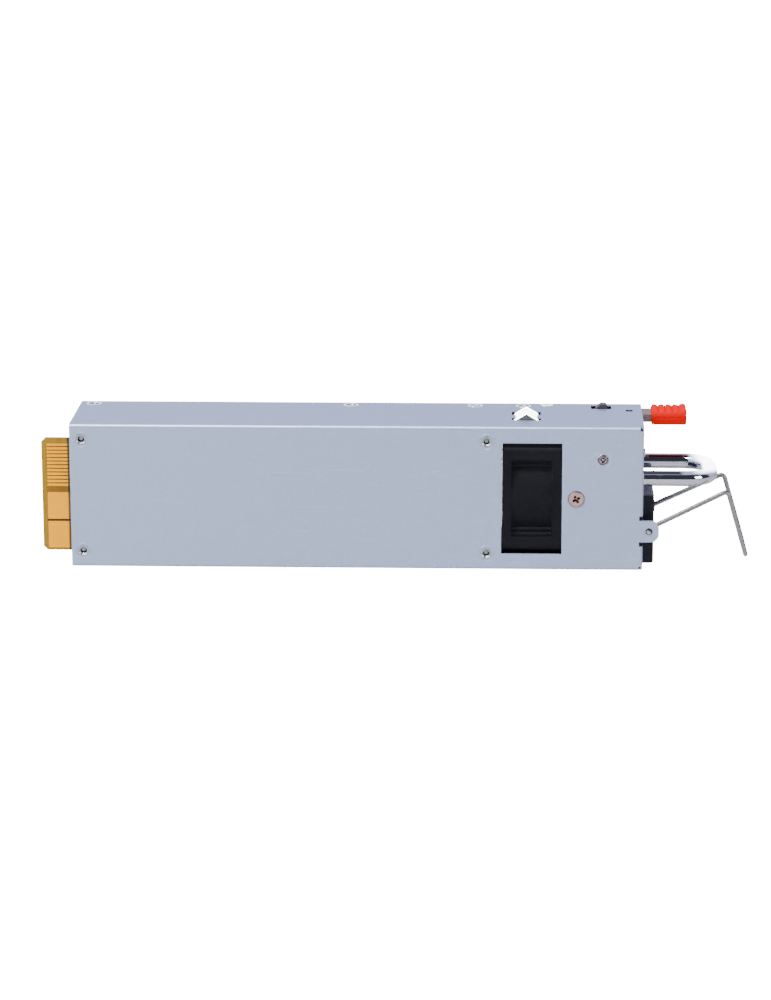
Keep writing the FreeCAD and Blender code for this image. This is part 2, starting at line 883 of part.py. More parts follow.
def make_standoffs():
    """Self-clinching spacers pressed flush into the near wall, threaded right through."""
    body_length = v.standoff_height + v.gauge
    spacers = []
    for i, x in enumerate(STANDOFF_XS):
        for j, z in enumerate(STANDOFF_ZS):
            at = (x, NEAR, z)
            outer = rod(f"spacer_{i}{j}", "y", at, body_length, v.standoff_radius)
            bore = rod(f"spacer_bore_{i}{j}", "y", at, body_length, v.standoff_bore)
            spacers.append(cut(f"standoff_{i}{j}", outer, bore))
    return group("board_standoffs", spacers)


def make_board_screws():
    screws = []
    length = v.board_thickness + v.board_screw_reach
    shank_radius = v.standoff_bore - v.thread_play
    for i, x in enumerate(STANDOFF_XS):
        for j, z in enumerate(STANDOFF_ZS):
            shank = rod(
                f"board_shank_{i}{j}", "y", (x, BOARD_FAR - length, z), length, shank_radius
            )
            head_at = (x, BOARD_FAR, z)
            head = rod(
                f"board_head_{i}{j}", "y", head_at, v.small_head_height, v.wafer_head_radius
            )
            screws.append(fuse(f"board_screw_{i}{j}", shank, head))
    return group("board_screws", screws)


def make_board():
    body = new_body("main_board")
    tip = BACK - v.tongue_reach
    shoulder = BACK + v.gauge + v.tongue_play
    low = v.board_edge_gap + v.gauge
    high = INNER_TOP - v.board_edge_gap
    tongue_low, tongue_high = TONGUE_ZS
    bevel = v.tongue_chamfer
    outline = new_sketch(body, "board_outline", "XZ", BOARD_NEAR)
    draw_polygon(
        outline,
        [
            (BOARD_FRONT, low),
            (BOARD_FRONT, high),
            (shoulder, high),
            (shoulder, tongue_high),
            (tip + bevel, tongue_high),
            (tip, tongue_high - bevel),
            (tip, tongue_low + bevel),
            (tip + bevel, tongue_low),
            (shoulder, tongue_low),
            (shoulder, low),
        ],
    )
    pad(body, "board_plate", outline, v.board_thickness, "XZ", 1)
    holes = new_sketch(body, "board_hole_outline", "XZ", BOARD_NEAR)
    draw_standoff_circles(holes, v.standoff_bore + v.screw_play)
    pocket(body, "board_holes", holes, v.board_thickness, "XZ", 1)
    return body


def contact_pair(name, zs):
    """The same gold-plated land on both faces of the tongue."""
    xs = (BACK - v.tongue_reach + v.contact_inset, BACK - v.tongue_play)
    near_ys = (BOARD_NEAR - v.contact_thickness, BOARD_NEAR)
    far_ys = (BOARD_FAR, BOARD_FAR + v.contact_thickness)
    return [box(f"{name}_near", xs, near_ys, zs), box(f"{name}_far", xs, far_ys, zs)]


def make_signal_contacts():
    lands = []
    for index in range(FINGERS):
        middle = TONGUE_ZS[1] - v.finger_inset - v.finger_pitch * index
        zs = (middle - v.finger_width / 2, middle + v.finger_width / 2)
        lands += contact_pair(f"finger_{index}", zs)
    return group("signal_contacts", lands)


def make_power_contacts():
    """Two wide lands that share the tongue below the row of fingers."""
    lands = []
    fingers = v.finger_inset + v.finger_pitch * (FINGERS - 1) + v.finger_width / 2
    top = TONGUE_ZS[1] - fingers - v.power_pad_space
    height = (top - TONGUE_ZS[0] - v.power_pad_gap * 2) / 2
    for index in range(2):
        high = top - (height + v.power_pad_gap) * index
        lands += contact_pair(f"power_pad_{index}", (high - height, high))
    return group("power_contacts", lands)


def make_insulating_film():
    body = new_body("insulating_film")
    outline = new_sketch(body, "film_outline", "XZ", INNER_NEAR)
    inset = v.bend_radius
    draw_rectangle(
        outline,
        (BACK + v.gauge + v.tongue_play, BOARD_FRONT),
        (v.gauge + inset, INNER_TOP - inset),
    )
    draw_standoff_circles(outline, v.standoff_radius + v.screw_play)
    pad(body, "film_sheet", outline, v.film_thickness, "XZ", 1)
    return body


# ---------------------------------------------------------------- fan


def make_fan_frame():
    """Square fan housing: two flanges, corner posts, a round duct and three motor arms."""
    body = new_body("fan_frame_block")
    half = v.fan_size / 2
    rear = FAN_X - v.fan_thickness / 2
    outline = new_sketch(body, "frame_outline", "YZ", rear)
    middle = FAN_Z
    draw_rectangle(outline, (-half, half), (middle - half, middle + half))
    block = pad(body, "frame_block", outline, v.fan_thickness, "YZ")
    round_edges(
        body,
        "frame_corners",
        block,
        v.fan_corner,
        lambda e: runs_along(e, "x"),
    )
    holes = new_sketch(body, "frame_hole_outline", "YZ", rear)
    draw_circle(holes, (0, middle), v.fan_bore_radius)
    reach = v.fan_hole_pitch / 2
    for side in (-1, 1):
        for rise in (-1, 1):
            draw_circle(holes, (reach * side, middle + reach * rise), v.fan_hole_radius)
    pocket(body, "frame_holes", holes, v.fan_thickness, "YZ", 1)

    band = (rear + v.fan_flange, rear + v.fan_thickness - v.fan_flange)
    span = half - v.fan_post
    outside = half + 1
    level = box("recess_level", band, (-outside, outside), (middle - span, middle + span))
    upright = box("recess_upright", band, (-span, span), (middle - outside, middle + outside))
    duct_radius = v.fan_bore_radius + v.fan_wall
    at = (band[0], 0, middle)
    duct = rod("duct_keep", "x", at, band[1] - band[0], duct_radius)
    recess = cut("frame_recess", fuse("recess_cross", level, upright), duct)
    shell = cut("frame_shell", body, recess)

    base_depth = v.motor_base_depth
    base_x = FAN_FACE_X - base_depth
    base_radius = v.hub_radius + v.motor_base_lip
    base = rod("motor_base", "x", (base_x, 0, middle), base_depth, base_radius)
    half_arm = v.motor_arm_width / 2
    reach = v.fan_bore_radius + v.fan_wall / 2
    arms = []
    for angle in ARM_ANGLES:
        arm = box(f"motor_arm_{angle}", (0, base_depth), (-half_arm, half_arm), (0, reach))
        arm.Placement.Rotation = FreeCAD.Rotation(FreeCAD.Vector(1, 0, 0), angle)
        sideways = math.cos(math.radians(angle))
        upward = math.sin(math.radians(angle))
        place(arm, (base_x, half_arm * -sideways, middle - half_arm * upward))
        arms.append(arm)
    frame = fuse("frame_with_arms", shell, base, *arms)
    bore_at = (base_x - 1, 0, middle)
    bore = rod("motor_base_bore", "x", bore_at, base_depth + 2, v.shaft_radius + v.shaft_play)
    return cut("fan_frame", frame, bore)


def hub_rear():
    """Closed face of the hub, a running gap inside the frame's rear opening."""
    return FAN_FACE_X - v.motor_base_depth - v.running_gap - v.hub_length


def draw_blade_section(body, name, level, chord, angle):
    """A cambered strip across the blade, turned about the radius that it stands on."""
    section = new_sketch(body, name, "XY", level)
    along = (math.cos(math.radians(angle)), math.sin(math.radians(angle)))
    across = (-along[1], along[0])
    half = v.blade_thickness / 2
    rim = (
        (-1, half),
        (0, v.blade_camber + half),
        (1, half),
        (1, -half),
        (0, v.blade_camber - half),
        (-1, -half),
    )
    points = []
    for station, lift in rim:
        run = chord / 2 * station
        points.append((lift * across[0] + run * along[0], lift * across[1] + run * along[1]))
    draw_polygon(section, points)
    return section


def make_fan_rotor():
    """Hub cup with lofted, twisted blades in a ring."""
    body = new_body("fan_rotor")
    place(body, (hub_rear() + v.hub_length / 2, 0, FAN_Z))
    half = v.hub_length / 2
    outline = new_sketch(body, "hub_outline", "YZ", -half)
    draw_circle(outline, (0, 0), v.hub_radius)
    pad(body, "hub", outline, v.hub_length, "YZ")
    cup = new_sketch(body, "cup_outline", "YZ", half)
    draw_circle(cup, (0, 0), v.hub_radius - v.hub_wall)
    pocket(body, "cup", cup, v.hub_length - v.hub_wall, "YZ", -1)

    sections = [
        draw_blade_section(
            body, "blade_root", v.hub_radius - v.blade_root_sink, v.blade_root_chord, ROOT_ANGLE
        ),
        draw_blade_section(body, "blade_tip", v.blade_reach, v.blade_tip_chord, TIP_ANGLE),
    ]
    blade = body.newObject("PartDesign::AdditiveLoft", "blade")
    blade.Profile = sections[0]
    blade.Sections = [sections[1]]
    blade.Ruled = True
    doc.recompute()
    ring = body.newObject("PartDesign::PolarPattern", "blade_ring")
    ring.Originals = [blade]
    spin_axis = [item for item in body.Origin.OriginFeatures if item.Role == "X_Axis"][0]
    ring.Axis = (spin_axis, [""])
    ring.Angle = FULL
    ring.Occurrences = BLADES
    body.Tip = ring
    return body


def make_fan_shaft():
    start = hub_rear() + v.hub_wall
    end = FAN_FACE_X - v.shaft_inset
    return rod("fan_shaft", "x", (start, 0, FAN_Z), end - start, v.shaft_radius)


def make_fan_stator():
    """Wound core and bearing tube on the motor base, inside the hub cup."""
    start = hub_rear() + v.hub_wall + v.running_gap
    end = FAN_FACE_X - v.motor_base_depth
    at = (start, 0, FAN_Z)
    core = rod("stator_core", "x", at, end - start, v.hub_radius - v.hub_wall - v.running_gap)
    bore = rod("stator_bore", "x", at, end - start, v.shaft_radius + v.shaft_play)
    return cut("fan_stator", core, bore)


def make_fan_bracket():
    """Angle strip in front of the fan: its foot is screwed to the near wall."""
    body = new_body("fan_bracket")
    half = v.fan_size / 2
    foot_ys = (INNER_NEAR, INNER_NEAR + v.gauge)
    foot = new_sketch(body, "angle_outline", "XY", FAN_Z - half + v.fan_corner)
    foot_end = FAN_FACE_X + v.gauge + v.bracket_foot
    strap_y = INNER_NEAR + v.bracket_strap
    draw_polygon(
        foot,
        [
            (FAN_FACE_X, strap_y),
            (FAN_FACE_X, foot_ys[0]),
            (foot_end, foot_ys[0]),
            (foot_end, foot_ys[1]),
            (FAN_FACE_X + v.gauge, foot_ys[1]),
            (FAN_FACE_X + v.gauge, strap_y),
        ],
    )
    pad(body, "angle", foot, v.fan_size - v.fan_corner * 2, "XY", 1)
    holes = new_sketch(body, "bracket_hole_outline", "YZ", FAN_FACE_X)
    reach = v.fan_hole_pitch / 2
    for rise in (-1, 1):
        draw_circle(holes, (-reach, FAN_Z + reach * rise), v.fan_hole_radius)
    pocket(body, "bracket_holes", holes, v.gauge, "YZ", 1)
    screw = new_sketch(body, "foot_hole_outline", "XZ", INNER_NEAR)
    draw_circle(screw, (BRACKET_SCREW_X, FAN_Z), v.thread_radius + v.thread_play)
    pocket(body, "foot_hole", screw, v.gauge, "XZ", 1)
    return body


def make_fan_screws():
    screws = []
    reach = v.fan_hole_pitch / 2
    length = v.fan_screw_length
    seat_x = FAN_FACE_X + v.gauge
    shank_radius = v.fan_hole_radius - v.shaft_play
    for rise in (-1, 1):
        z = FAN_Z + reach * rise
        shank_at = (seat_x - length, -reach, z)
        shank = rod(f"fan_shank{rise}", "x", shank_at, length, shank_radius)
        head_at = (seat_x, -reach, z)
        head = rod(f"fan_head{rise}", "x", head_at, v.small_head_height, v.small_head_radius)
        screws.append(fuse(f"fan_screw{rise}", shank, head))
    return group("fan_screws", screws)


def make_bracket_screw():
    x = BRACKET_SCREW_X
    head_at = (x, NEAR - v.wafer_head_height, FAN_Z)
    head = rod("wafer_head", "y", head_at, v.wafer_head_height, v.wafer_head_radius)
    shank = rod("wafer_shank", "y", (x, NEAR, FAN_Z), v.wafer_length, v.thread_radius)
    screw = fuse("wafer_screw", head, shank)
    softened = doc.addObject("Part::Fillet", "bracket_screw")
    doc.recompute()
    softened.Base = screw
    rim = []
    edge_radius = v.wafer_edge.number
    for index, edge in enumerate(screw.Shape.Edges, 1):
        if edge.BoundBox.YLength < 1e-3 and close(edge.BoundBox.YMin, head_at[1]):
            rim.append((index, edge_radius, edge_radius))
    softened.Edges = rim
    return softened


# ---------------------------------------------------------------- earth stud


def make_ground_stud():
    """Clinch stud: its dished head shows in the near wall, its thread points inward."""
    at = (STUD_X, NEAR - v.stud_proud, STUD_Z)
    head = rod("stud_head", "y", at, v.gauge + v.stud_proud, v.stud_head_radius)
    dish = cone(
        "stud_dish", "y", at, v.stud_dish_depth, v.stud_dish_radius, v.stud_dish_floor
    )
    dished = cut("stud_dished", head, dish)
    thread_at = (STUD_X, INNER_NEAR, STUD_Z)
    thread = rod("stud_thread", "y", thread_at, v.stud_length, v.thread_radius)
    return fuse("ground_stud", dished, thread)


def make_ground_terminal():
    """Ring terminal of the earth lead, clamped on the stud."""
    flat_ys = (INNER_NEAR, INNER_NEAR + v.terminal_gauge)
    seat = (STUD_X, INNER_NEAR, STUD_Z)
    ring_disc = rod("ring_disc", "y", seat, v.terminal_gauge, v.terminal_radius)
    half_barrel = v.barrel_width / 2
    barrel_top = STUD_Z - v.barrel_top
    barrel = box(
        "ring_barrel",
        (STUD_X - half_barrel, STUD_X + half_barrel),
        (INNER_NEAR, INNER_NEAR + v.barrel_width),
        (STUD_Z - v.terminal_reach, barrel_top),
    )
    half_neck = v.terminal_neck_width / 2
    neck = box(
        "ring_neck",
        (STUD_X - half_neck, STUD_X + half_neck),
        flat_ys,
        (barrel_top - v.terminal_gauge / 2, STUD_Z - v.terminal_neck_top),
    )
    whole = fuse("terminal_blank", ring_disc, neck, barrel)
    bore_radius = v.thread_radius + v.screw_play
    bore = rod("terminal_bore", "y", seat, v.terminal_gauge, bore_radius)
    return cut("ground_terminal", whole, bore)


def make_ground_nut():
    at = (STUD_X, INNER_NEAR + v.terminal_gauge, STUD_Z)
    nut = hexagon("nut_blank", "y", at, v.nut_height, v.nut_radius)
    bore = rod("nut_bore", "y", at, v.nut_height, v.thread_radius + v.thread_play)
    return cut("ground_nut", nut, bore)


# ---------------------------------------------------------------- grounding clip


def make_ground_clip():
    """Roof-shaped spring leaf that stands out of the top wall, with two slits."""
    body = new_body("ground_clip")
    half = v.clip_length / 2
    foot = v.clip_window_length / 2 + v.clip_foot
    under = INNER_TOP - v.seam - v.clip_gauge
    sill = TOP - v.gauge / 2
    ridge = TOP + v.clip_rise
    skin = v.clip_gauge
    outline = new_sketch(body, "roof_outline", "XZ", v.clip_y - v.clip_width / 2)
    x = CLIP_X
    draw_polygon(
        outline,
        [
            (x - half, sill),
            (x, ridge),
            (x + half, sill),
            (x + half, sill - skin),
            (x + half - skin, sill - skin),
            (x, ridge - skin * RIDGE_SKINS),
            (x - half + skin, sill - skin),
            (x - half, sill - skin),
        ],
    )
    pad(body, "roof", outline, v.clip_width, "XZ", 1)
    gable = new_sketch(body, "gable_outline", "XZ", v.clip_y - v.clip_width / 2)
    draw_polygon(
        gable,
        [
            (x - half + skin, sill - skin),
            (x + half - skin, sill - skin),
            (x, ridge - skin * RIDGE_SKINS),
        ],
    )
    pad(body, "gable", gable, skin, "XZ", 1)
    neck = new_sketch(body, "neck_outline", "XZ", v.clip_y - v.clip_neck / 2)
    for sign in (-1, 1):
        draw_polygon(
            neck,
            [
                (x + (half - skin) * sign, sill),
                (x + (half + skin * 2) * sign, sill),
                (x + (half + skin * 2) * sign, under + skin),
                (x + foot * sign, under + skin),
                (x + foot * sign, under),
                (x + (half + skin) * sign, under),
                (x + (half + skin) * sign, sill - skin),
                (x + (half - skin) * sign, sill - skin),
            ],
        )
    pad(body, "necks", neck, v.clip_neck, "XZ", 1)
    slits = new_sketch(body, "slit_outline", "XY", ridge)
    strip = v.clip_width / 3
    for index in (1, 2):
        y = v.clip_y - v.clip_width / 2 + strip * index
        slit_ys = (y - v.clip_slit / 2, y + v.clip_slit / 2)
        draw_rectangle(slits, (x - half * SLIT_SHARE, x + half * SLIT_SHARE), slit_ys)
    pocket(body, "slits", slits, v.clip_rise + v.gauge, "XY", -1)
    return body


# ---------------------------------------------------------------- latch


def make_latch_arm():
    """Angle-section arm with a bent-up catch, reaching out through the front wall."""
    body = new_body("latch_arm")
    start = LATCH_PIVOT_X
    end = GRIP_X + v.grip_length - v.sleeve_end
    low = LATCH_TOP - v.latch_gauge
    outline = new_sketch(body, "arm_outline", "YZ", start)
    draw_polygon(
        outline,
        [
            (v.latch_near_y, LATCH_TOP),
            (v.latch_near_y, LATCH_TOP - v.latch_flange),
            (v.latch_near_y + v.latch_gauge, LATCH_TOP - v.latch_flange),
            (v.latch_near_y + v.latch_gauge, low),
            (LATCH_FAR_Y, low),
            (LATCH_FAR_Y, LATCH_TOP),
        ],
    )
    pad(body, "arm", outline, end - start, "YZ")
    catch = new_sketch(body, "catch_outline", "XZ", v.catch_y - v.catch_width / 2)
    tip_z = TOP + v.catch_height
    draw_polygon(
        catch,
        [
            (CATCH_X, low),
            (CATCH_X + v.catch_length, low),
            (CATCH_X + v.catch_length, tip_z - v.catch_bevel),
            (CATCH_X + v.catch_length - v.catch_bevel, tip_z),
            (CATCH_X + v.catch_length * CATCH_SHOULDER, tip_z),
            (CATCH_X, TOP - v.catch_toe),
        ],
    )
    pad(body, "catch", catch, v.catch_width, "XZ", 1)
    return body


def make_latch_grip():
    """Moulded finger grip pushed over the arm's end, with a row of round ridges."""
    body = new_body("grip_block")
    crown = LATCH_TOP + v.grip_crown
    base = crown - v.grip_height
    near = v.latch_near_y - v.grip_overhang
    far = LATCH_FAR_Y + v.grip_overhang
    outline = new_sketch(body, "grip_outline", "XZ", near)
    draw_rectangle(outline, (GRIP_X, GRIP_X + v.grip_length), (base, crown))
    block = pad(body, "grip_core", outline, far - near, "XZ", 1)
    round_edges(body, "grip_edge", block, v.grip_edge, lambda e: runs_along(e, "y"))
    ridges = []
    pitch = v.grip_length / GRIP_TEETH
    inset = v.ridge_inset
    for index in range(GRIP_TEETH):
        x = GRIP_X + pitch * (index + 0.5)
        rise = v.end_ridge_rise if index == GRIP_TEETH - 1 else 0
        at = (x, near + inset, crown + rise - v.grip_tooth * RIDGE_SINK)
        length = far - near - inset * 2
        ridges.append(rod(f"ridge_{index}", "y", at, length, v.grip_tooth * RIDGE_ROUND))
    solid = fuse("grip_solid", body, *ridges)
    play = v.seam
    sleeve_xs = (GRIP_X - 1, GRIP_X + v.grip_length - v.sleeve_end + play)
    low = LATCH_TOP - v.latch_gauge
    plate = box(
        "sleeve_plate",
        sleeve_xs,
        (v.latch_near_y - play, LATCH_FAR_Y + play),
        (low - play, LATCH_TOP + play),
    )
    web = box(
        "sleeve_web",
        sleeve_xs,
        (v.latch_near_y - play, v.latch_near_y + v.latch_gauge + play),
        (LATCH_TOP - v.latch_flange - play, LATCH_TOP),
    )
    return cut("latch_grip", solid, plate, web)


def make_latch_spring():
    """Flat leaf under the top wall: riveted at its rear half, it bears on the arm."""
    leaf_zs = (INNER_TOP - v.leaf_gauge, INNER_TOP)
    leaf = box(
        "leaf",
        (LEAF_REAR_X, FRONT - v.leaf_front_setback),
        (v.latch_near_y + v.leaf_inset, LATCH_FAR_Y),
        leaf_zs,
    )
    at = (RIVET_X, RIVET_Y, leaf_zs[0])
    return cut("latch_spring", leaf, rod("leaf_bore", "z", at, v.leaf_gauge, v.rivet_radius))


def make_latch_rivet():
    """Rivet with a low dished head, through the top wall and the leaf."""
    seat_z = INNER_TOP - v.leaf_gauge
    shank_at = (RIVET_X, RIVET_Y, seat_z)
    shank = rod("rivet_shank", "z", shank_at, TOP - seat_z, v.rivet_radius)
    head_at = (RIVET_X, RIVET_Y, TOP)
    head = cone(
        "rivet_head", "z", head_at, v.rivet_head_height, v.rivet_head_radius, v.rivet_crown_radius
    )
    foot_at = (RIVET_X, RIVET_Y, seat_z - v.rivet_foot_height)
    foot = rod("rivet_foot", "z", foot_at, v.rivet_foot_height, v.rivet_foot_radius)
    solid = fuse("rivet_solid", shank, head, foot)
    dish_at = (RIVET_X, RIVET_Y, TOP + v.rivet_head_height - v.rivet_dish_depth)
    dish = cone(
        "rivet_dish", "z", dish_at, v.rivet_dish_depth, v.rivet_dish_floor, v.rivet_dish_radius
    )
    return cut("latch_rivet", solid, dish)


# ---------------------------------------------------------------- mains inlet


def socket_points():
    """Six-sided mouth of the socket: two corners cut at the earth pin's side."""
    wide = v.socket_width / 2
    low = v.inlet_level - v.socket_height / 2
    high = v.inlet_level + v.socket_height / 2
    bevel = v.socket_chamfer
    return [
        (-wide, low),
        (wide, low),
        (wide, high - bevel),
        (wide - bevel, high),
        (bevel - wide, high),
        (-wide, high - bevel),
    ]


def pin_spots():
    """Middle of each contact blade in Y and Z: live, earth, neutral."""
    low = v.inlet_level - v.pin_offset / 2
    high = v.inlet_level + v.pin_offset / 2
    return ((-v.pin_pitch / 2, low), (as_size(0), high), (v.pin_pitch / 2, low))


def make_inlet():
    """Moulded socket with a bezel on the front wall and a body behind it."""
    body = new_body("inlet_block")
    wide = v.inlet_width / 2
    high = v.inlet_height / 2
    mouth = FRONT + v.inlet_reach
    level = v.inlet_level
    bezel = new_sketch(body, "bezel_outline", "YZ", FRONT)
    draw_rectangle(bezel, (-wide, wide), (level - high, level + high))
    block = pad(body, "bezel", bezel, v.inlet_reach, "YZ")

    def is_outer(edge):
        if close(edge.BoundBox.XMin, mouth):
            return True
        return runs_along(edge, "x")

    round_edges(body, "bezel_edges", block, v.bezel_edge, is_outer)
    inner_wide = wide - v.inlet_step
    inner_high = high - v.inlet_step
    shell = new_sketch(body, "body_outline", "YZ", FRONT)
    draw_rectangle(shell, (-inner_wide, inner_wide), (level - inner_high, level + inner_high))
    pad(body, "rear_body", shell, v.inlet_depth, "YZ", -1)
    socket = new_sketch(body, "socket_outline", "YZ", mouth)
    draw_polygon(socket, socket_points())
    pocket(body, "socket", socket, v.socket_depth, "YZ", -1)
    blades = []
    for index, (y, z) in enumerate(pin_spots()):
        rear = FRONT - v.inlet_depth
        blades.append(
            box(
                f"pin_slot_{index}",
                (rear - 1, mouth),
                (y - v.pin_thickness / 2, y + v.pin_thickness / 2),
                (z - v.pin_height / 2, z + v.pin_height / 2),
            )
        )
    return cut("inlet_body", body, group("pin_slots", blades))


def make_inlet_pins():
    pins = []
    for index, (y, z) in enumerate(pin_spots()):
        rear = FRONT - v.inlet_depth - v.pin_tail
        tip = FRONT + v.inlet_reach - v.pin_recess
        pins.append(
            box(
                f"inlet_pin_{index}",
                (rear, tip),
                (y - v.pin_thickness / 2, y + v.pin_thickness / 2),
                (z - v.pin_height / 2, z + v.pin_height / 2),
            )
        )
    return group("inlet_pins", pins)


# ---------------------------------------------------------------- handle and bail


def make_handle():
    """Round U-shaped grab handle: three bars and two quarter bends."""
    half = v.handle_spread / 2
    corner = v.handle_corner
    cross_x = FRONT + v.handle_reach - v.handle_radius
    bend_x = cross_x - corner
    level = HANDLE_Z
    pieces = []
    for sign in (-1, 1):
        at = (FRONT, half * sign, level)
        leg = rod(f"handle_leg{sign}", "x", at, bend_x - FRONT, v.handle_radius)
        bend = doc.addObject("Part::Torus", f"handle_bend{sign}")
        start_angle = 0 if sign > 0 else -QUARTER
        bend.Placement.Rotation = FreeCAD.Rotation(FreeCAD.Vector(0, 0, 1), start_angle)
        place(bend, (bend_x, (half - corner) * sign, level))
        bind(bend, "Radius1", corner)
        bind(bend, "Radius2", v.handle_radius)
        bend.Angle3 = QUARTER
        pieces += [leg, bend]
    span = v.handle_spread - corner * 2
    cross = rod("handle_cross", "y", (cross_x, corner - half, level), span, v.handle_radius)
    solid = fuse("handle_bar", cross, *pieces)
    bores = []
    bore_radius = v.thread_radius + v.thread_play
    for sign in (-1, 1):
        at = (FRONT, half * sign, level)
        bores.append(rod(f"handle_bore{sign}", "x", at, v.handle_bore_depth, bore_radius))
    return cut("handle", solid, group("handle_bores", bores))


def make_handle_screws():
    screws = []
    for sign in (-1, 1):
        y = v.handle_spread / 2 * sign
        at = (INNER_FRONT, y, HANDLE_Z)
        shank = rod(f"handle_shank{sign}", "x", at, v.handle_screw_length, v.thread_radius)
        head_at = (INNER_FRONT - v.pan_head_height, y, HANDLE_Z)
        head = rod(
            f"handle_head{sign}", "x", head_at, v.pan_head_height, v.wafer_head_radius
        )
        screws.append(fuse(f"handle_screw{sign}", shank, head))
    return group("handle_screws", screws)


def make_bail():
    """One length of spring wire: stub, arm, leg, cross wire, and the same back."""
    knee_x = PIVOT_X + v.bail_arm_x
    knee_z = v.ear_level + v.bail_arm_z
    foot_x = knee_x + v.bail_leg_x
    foot_z = knee_z - v.bail_leg_z
    stub_y = FAR + v.bail_stub
    half = [
        (PIVOT_X, -stub_y, v.ear_level),
        (PIVOT_X, -v.bail_root_y, v.ear_level),
        (knee_x, -v.bail_end_y, knee_z),
        (foot_x, -v.bail_end_y, foot_z),
    ]
    other = [(x, -y, z) for x, y, z in reversed(half)]
    return bent_rod("bail", half + other, v.bail_bend * 0.75, v.bail_radius)


# ---------------------------------------------------------------- leads


def make_mains_lead(name, index):
    """From an inlet blade down to the floor of the case, under the fan, to the board."""
    y, z = pin_spots()[index]
    start_x = FRONT - v.inlet_depth - v.pin_tail - v.seam
    floor = v.gauge + v.lead_radius + v.lead_clearance
    turn_x = start_x - v.lead_run
    lane = y * LANE_SHARE + v.lead_shift
    board_x = BOARD_FRONT + v.board_lead_reach
    points = [
        (start_x, y, z),
        (turn_x, y, z),
        (turn_x, lane, floor),
        (board_x, lane, floor),
        (board_x - v.board_lead_reach * 2, lane, floor + v.lead_rise),
    ]
    return bent_rod(name, points, v.lead_radius * LEAD_BEND, v.lead_radius)


def make_earth_lead():
    y, z = pin_spots()[1]
    start_x = FRONT - v.inlet_depth - v.pin_tail - v.seam
    turn_x = start_x - v.earth_lead_run
    end_y = INNER_NEAR + v.barrel_width / 2
    points = [
        (start_x, y, z),
        (turn_x, y, z),
        (turn_x, y - v.earth_lead_side, z + v.lead_shift),
        (STUD_X, end_y, z + v.terminal_reach),
        (STUD_X, end_y, STUD_Z - v.terminal_reach - v.seam),
    ]
    return bent_rod("earth_lead", points, v.lead_radius * LEAD_BEND, v.lead_radius)


def make_fan_leads():
    """Two thin leads from the motor arm over the fan's corner to the board plug."""
    leads = []
    ridge = FAN_Z + v.fan_size / 2 + v.fan_lead_radius + v.fan_lead_clearance
    start_x = FAN_FACE_X + v.gauge + v.fan_lead_bend
    for index in range(2):
        y = v.fan_lead_y - v.fan_lead_pitch * index
        points = [
            (start_x, y, ridge - v.fan_lead_drop),
            (start_x, y, ridge),
            (BOARD_FRONT - v.fan_lead_overlap, y, ridge),
        ]
        leads.append(bent_rod(f"fan_lead_{index}", points, v.fan_lead_bend, v.fan_lead_radius))
    return group("fan_leads", leads)


# ---------------------------------------------------------------- electronics


def ring(name, axis, at, height, radius, bore):
    outer = rod(f"{name}_outer", axis, at, height, radius)
    inner = rod(f"{name}_inner", axis, at, height, bore)
    return cut(name, outer, inner)


def make_toroid(core_name, winding_name, x, z, radius, bore, height):
    """Ring core standing off the board with a wound sleeve round two thirds of it."""
    wrap = v.winding_wrap
    sleeve_y = BOARD_FAR + v.solder_gap
    base_y = sleeve_y + wrap
    core = ring(core_name, "y", (x, base_y, z), height, radius, bore)
    skin = v.seam
    sleeve = ring(
        f"{winding_name}_sleeve", "y", (x, sleeve_y, z), height + wrap * 2, radius + wrap,
        bore - wrap,
    )
    void_at = (x, base_y - skin, z)
    void = ring(
        f"{winding_name}_void", "y", void_at, height + skin * 2, radius + skin, bore - skin
    )
    hollow = cut(f"{winding_name}_hollow", sleeve, void)
    reach = radius + wrap + 1
    slot = box(
        f"{winding_name}_gap",
        (x - wrap, x + wrap),
        (BOARD_FAR, BOARD_FAR + height + wrap * 3),
        (z - reach, z + reach),
    )
    return core, cut(winding_name, hollow, slot)


# The row of parts on the board takes what the screws at its two ends leave free.
ROW_ENDS = v.winding_wrap * 4 + v.coil_wrap + v.wafer_head_radius * 2
ROW_PARTS = (
    v.relay_length
    + v.choke_radius * 2
    + v.bridge_length
    + v.pfc_radius * 2
    + v.bulk_length
    + v.core_length
    + v.inductor_length
    + v.part_gap * ROW_GAPS
    + v.row_spare
)
STRETCH = (STANDOFF_XS[1] - STANDOFF_XS[0] - ROW_ENDS) / ROW_PARTS
GAP = v.part_gap * STRETCH
ROW_LOW = v.gauge * 2 + v.seam + v.row_edge_gap
ROW_HIGH = TOP - ROW_LOW
ROW_FRONT = STANDOFF_XS[1] - v.wafer_head_radius - GAP


def span_from(high, length):
    return (high - length, high)


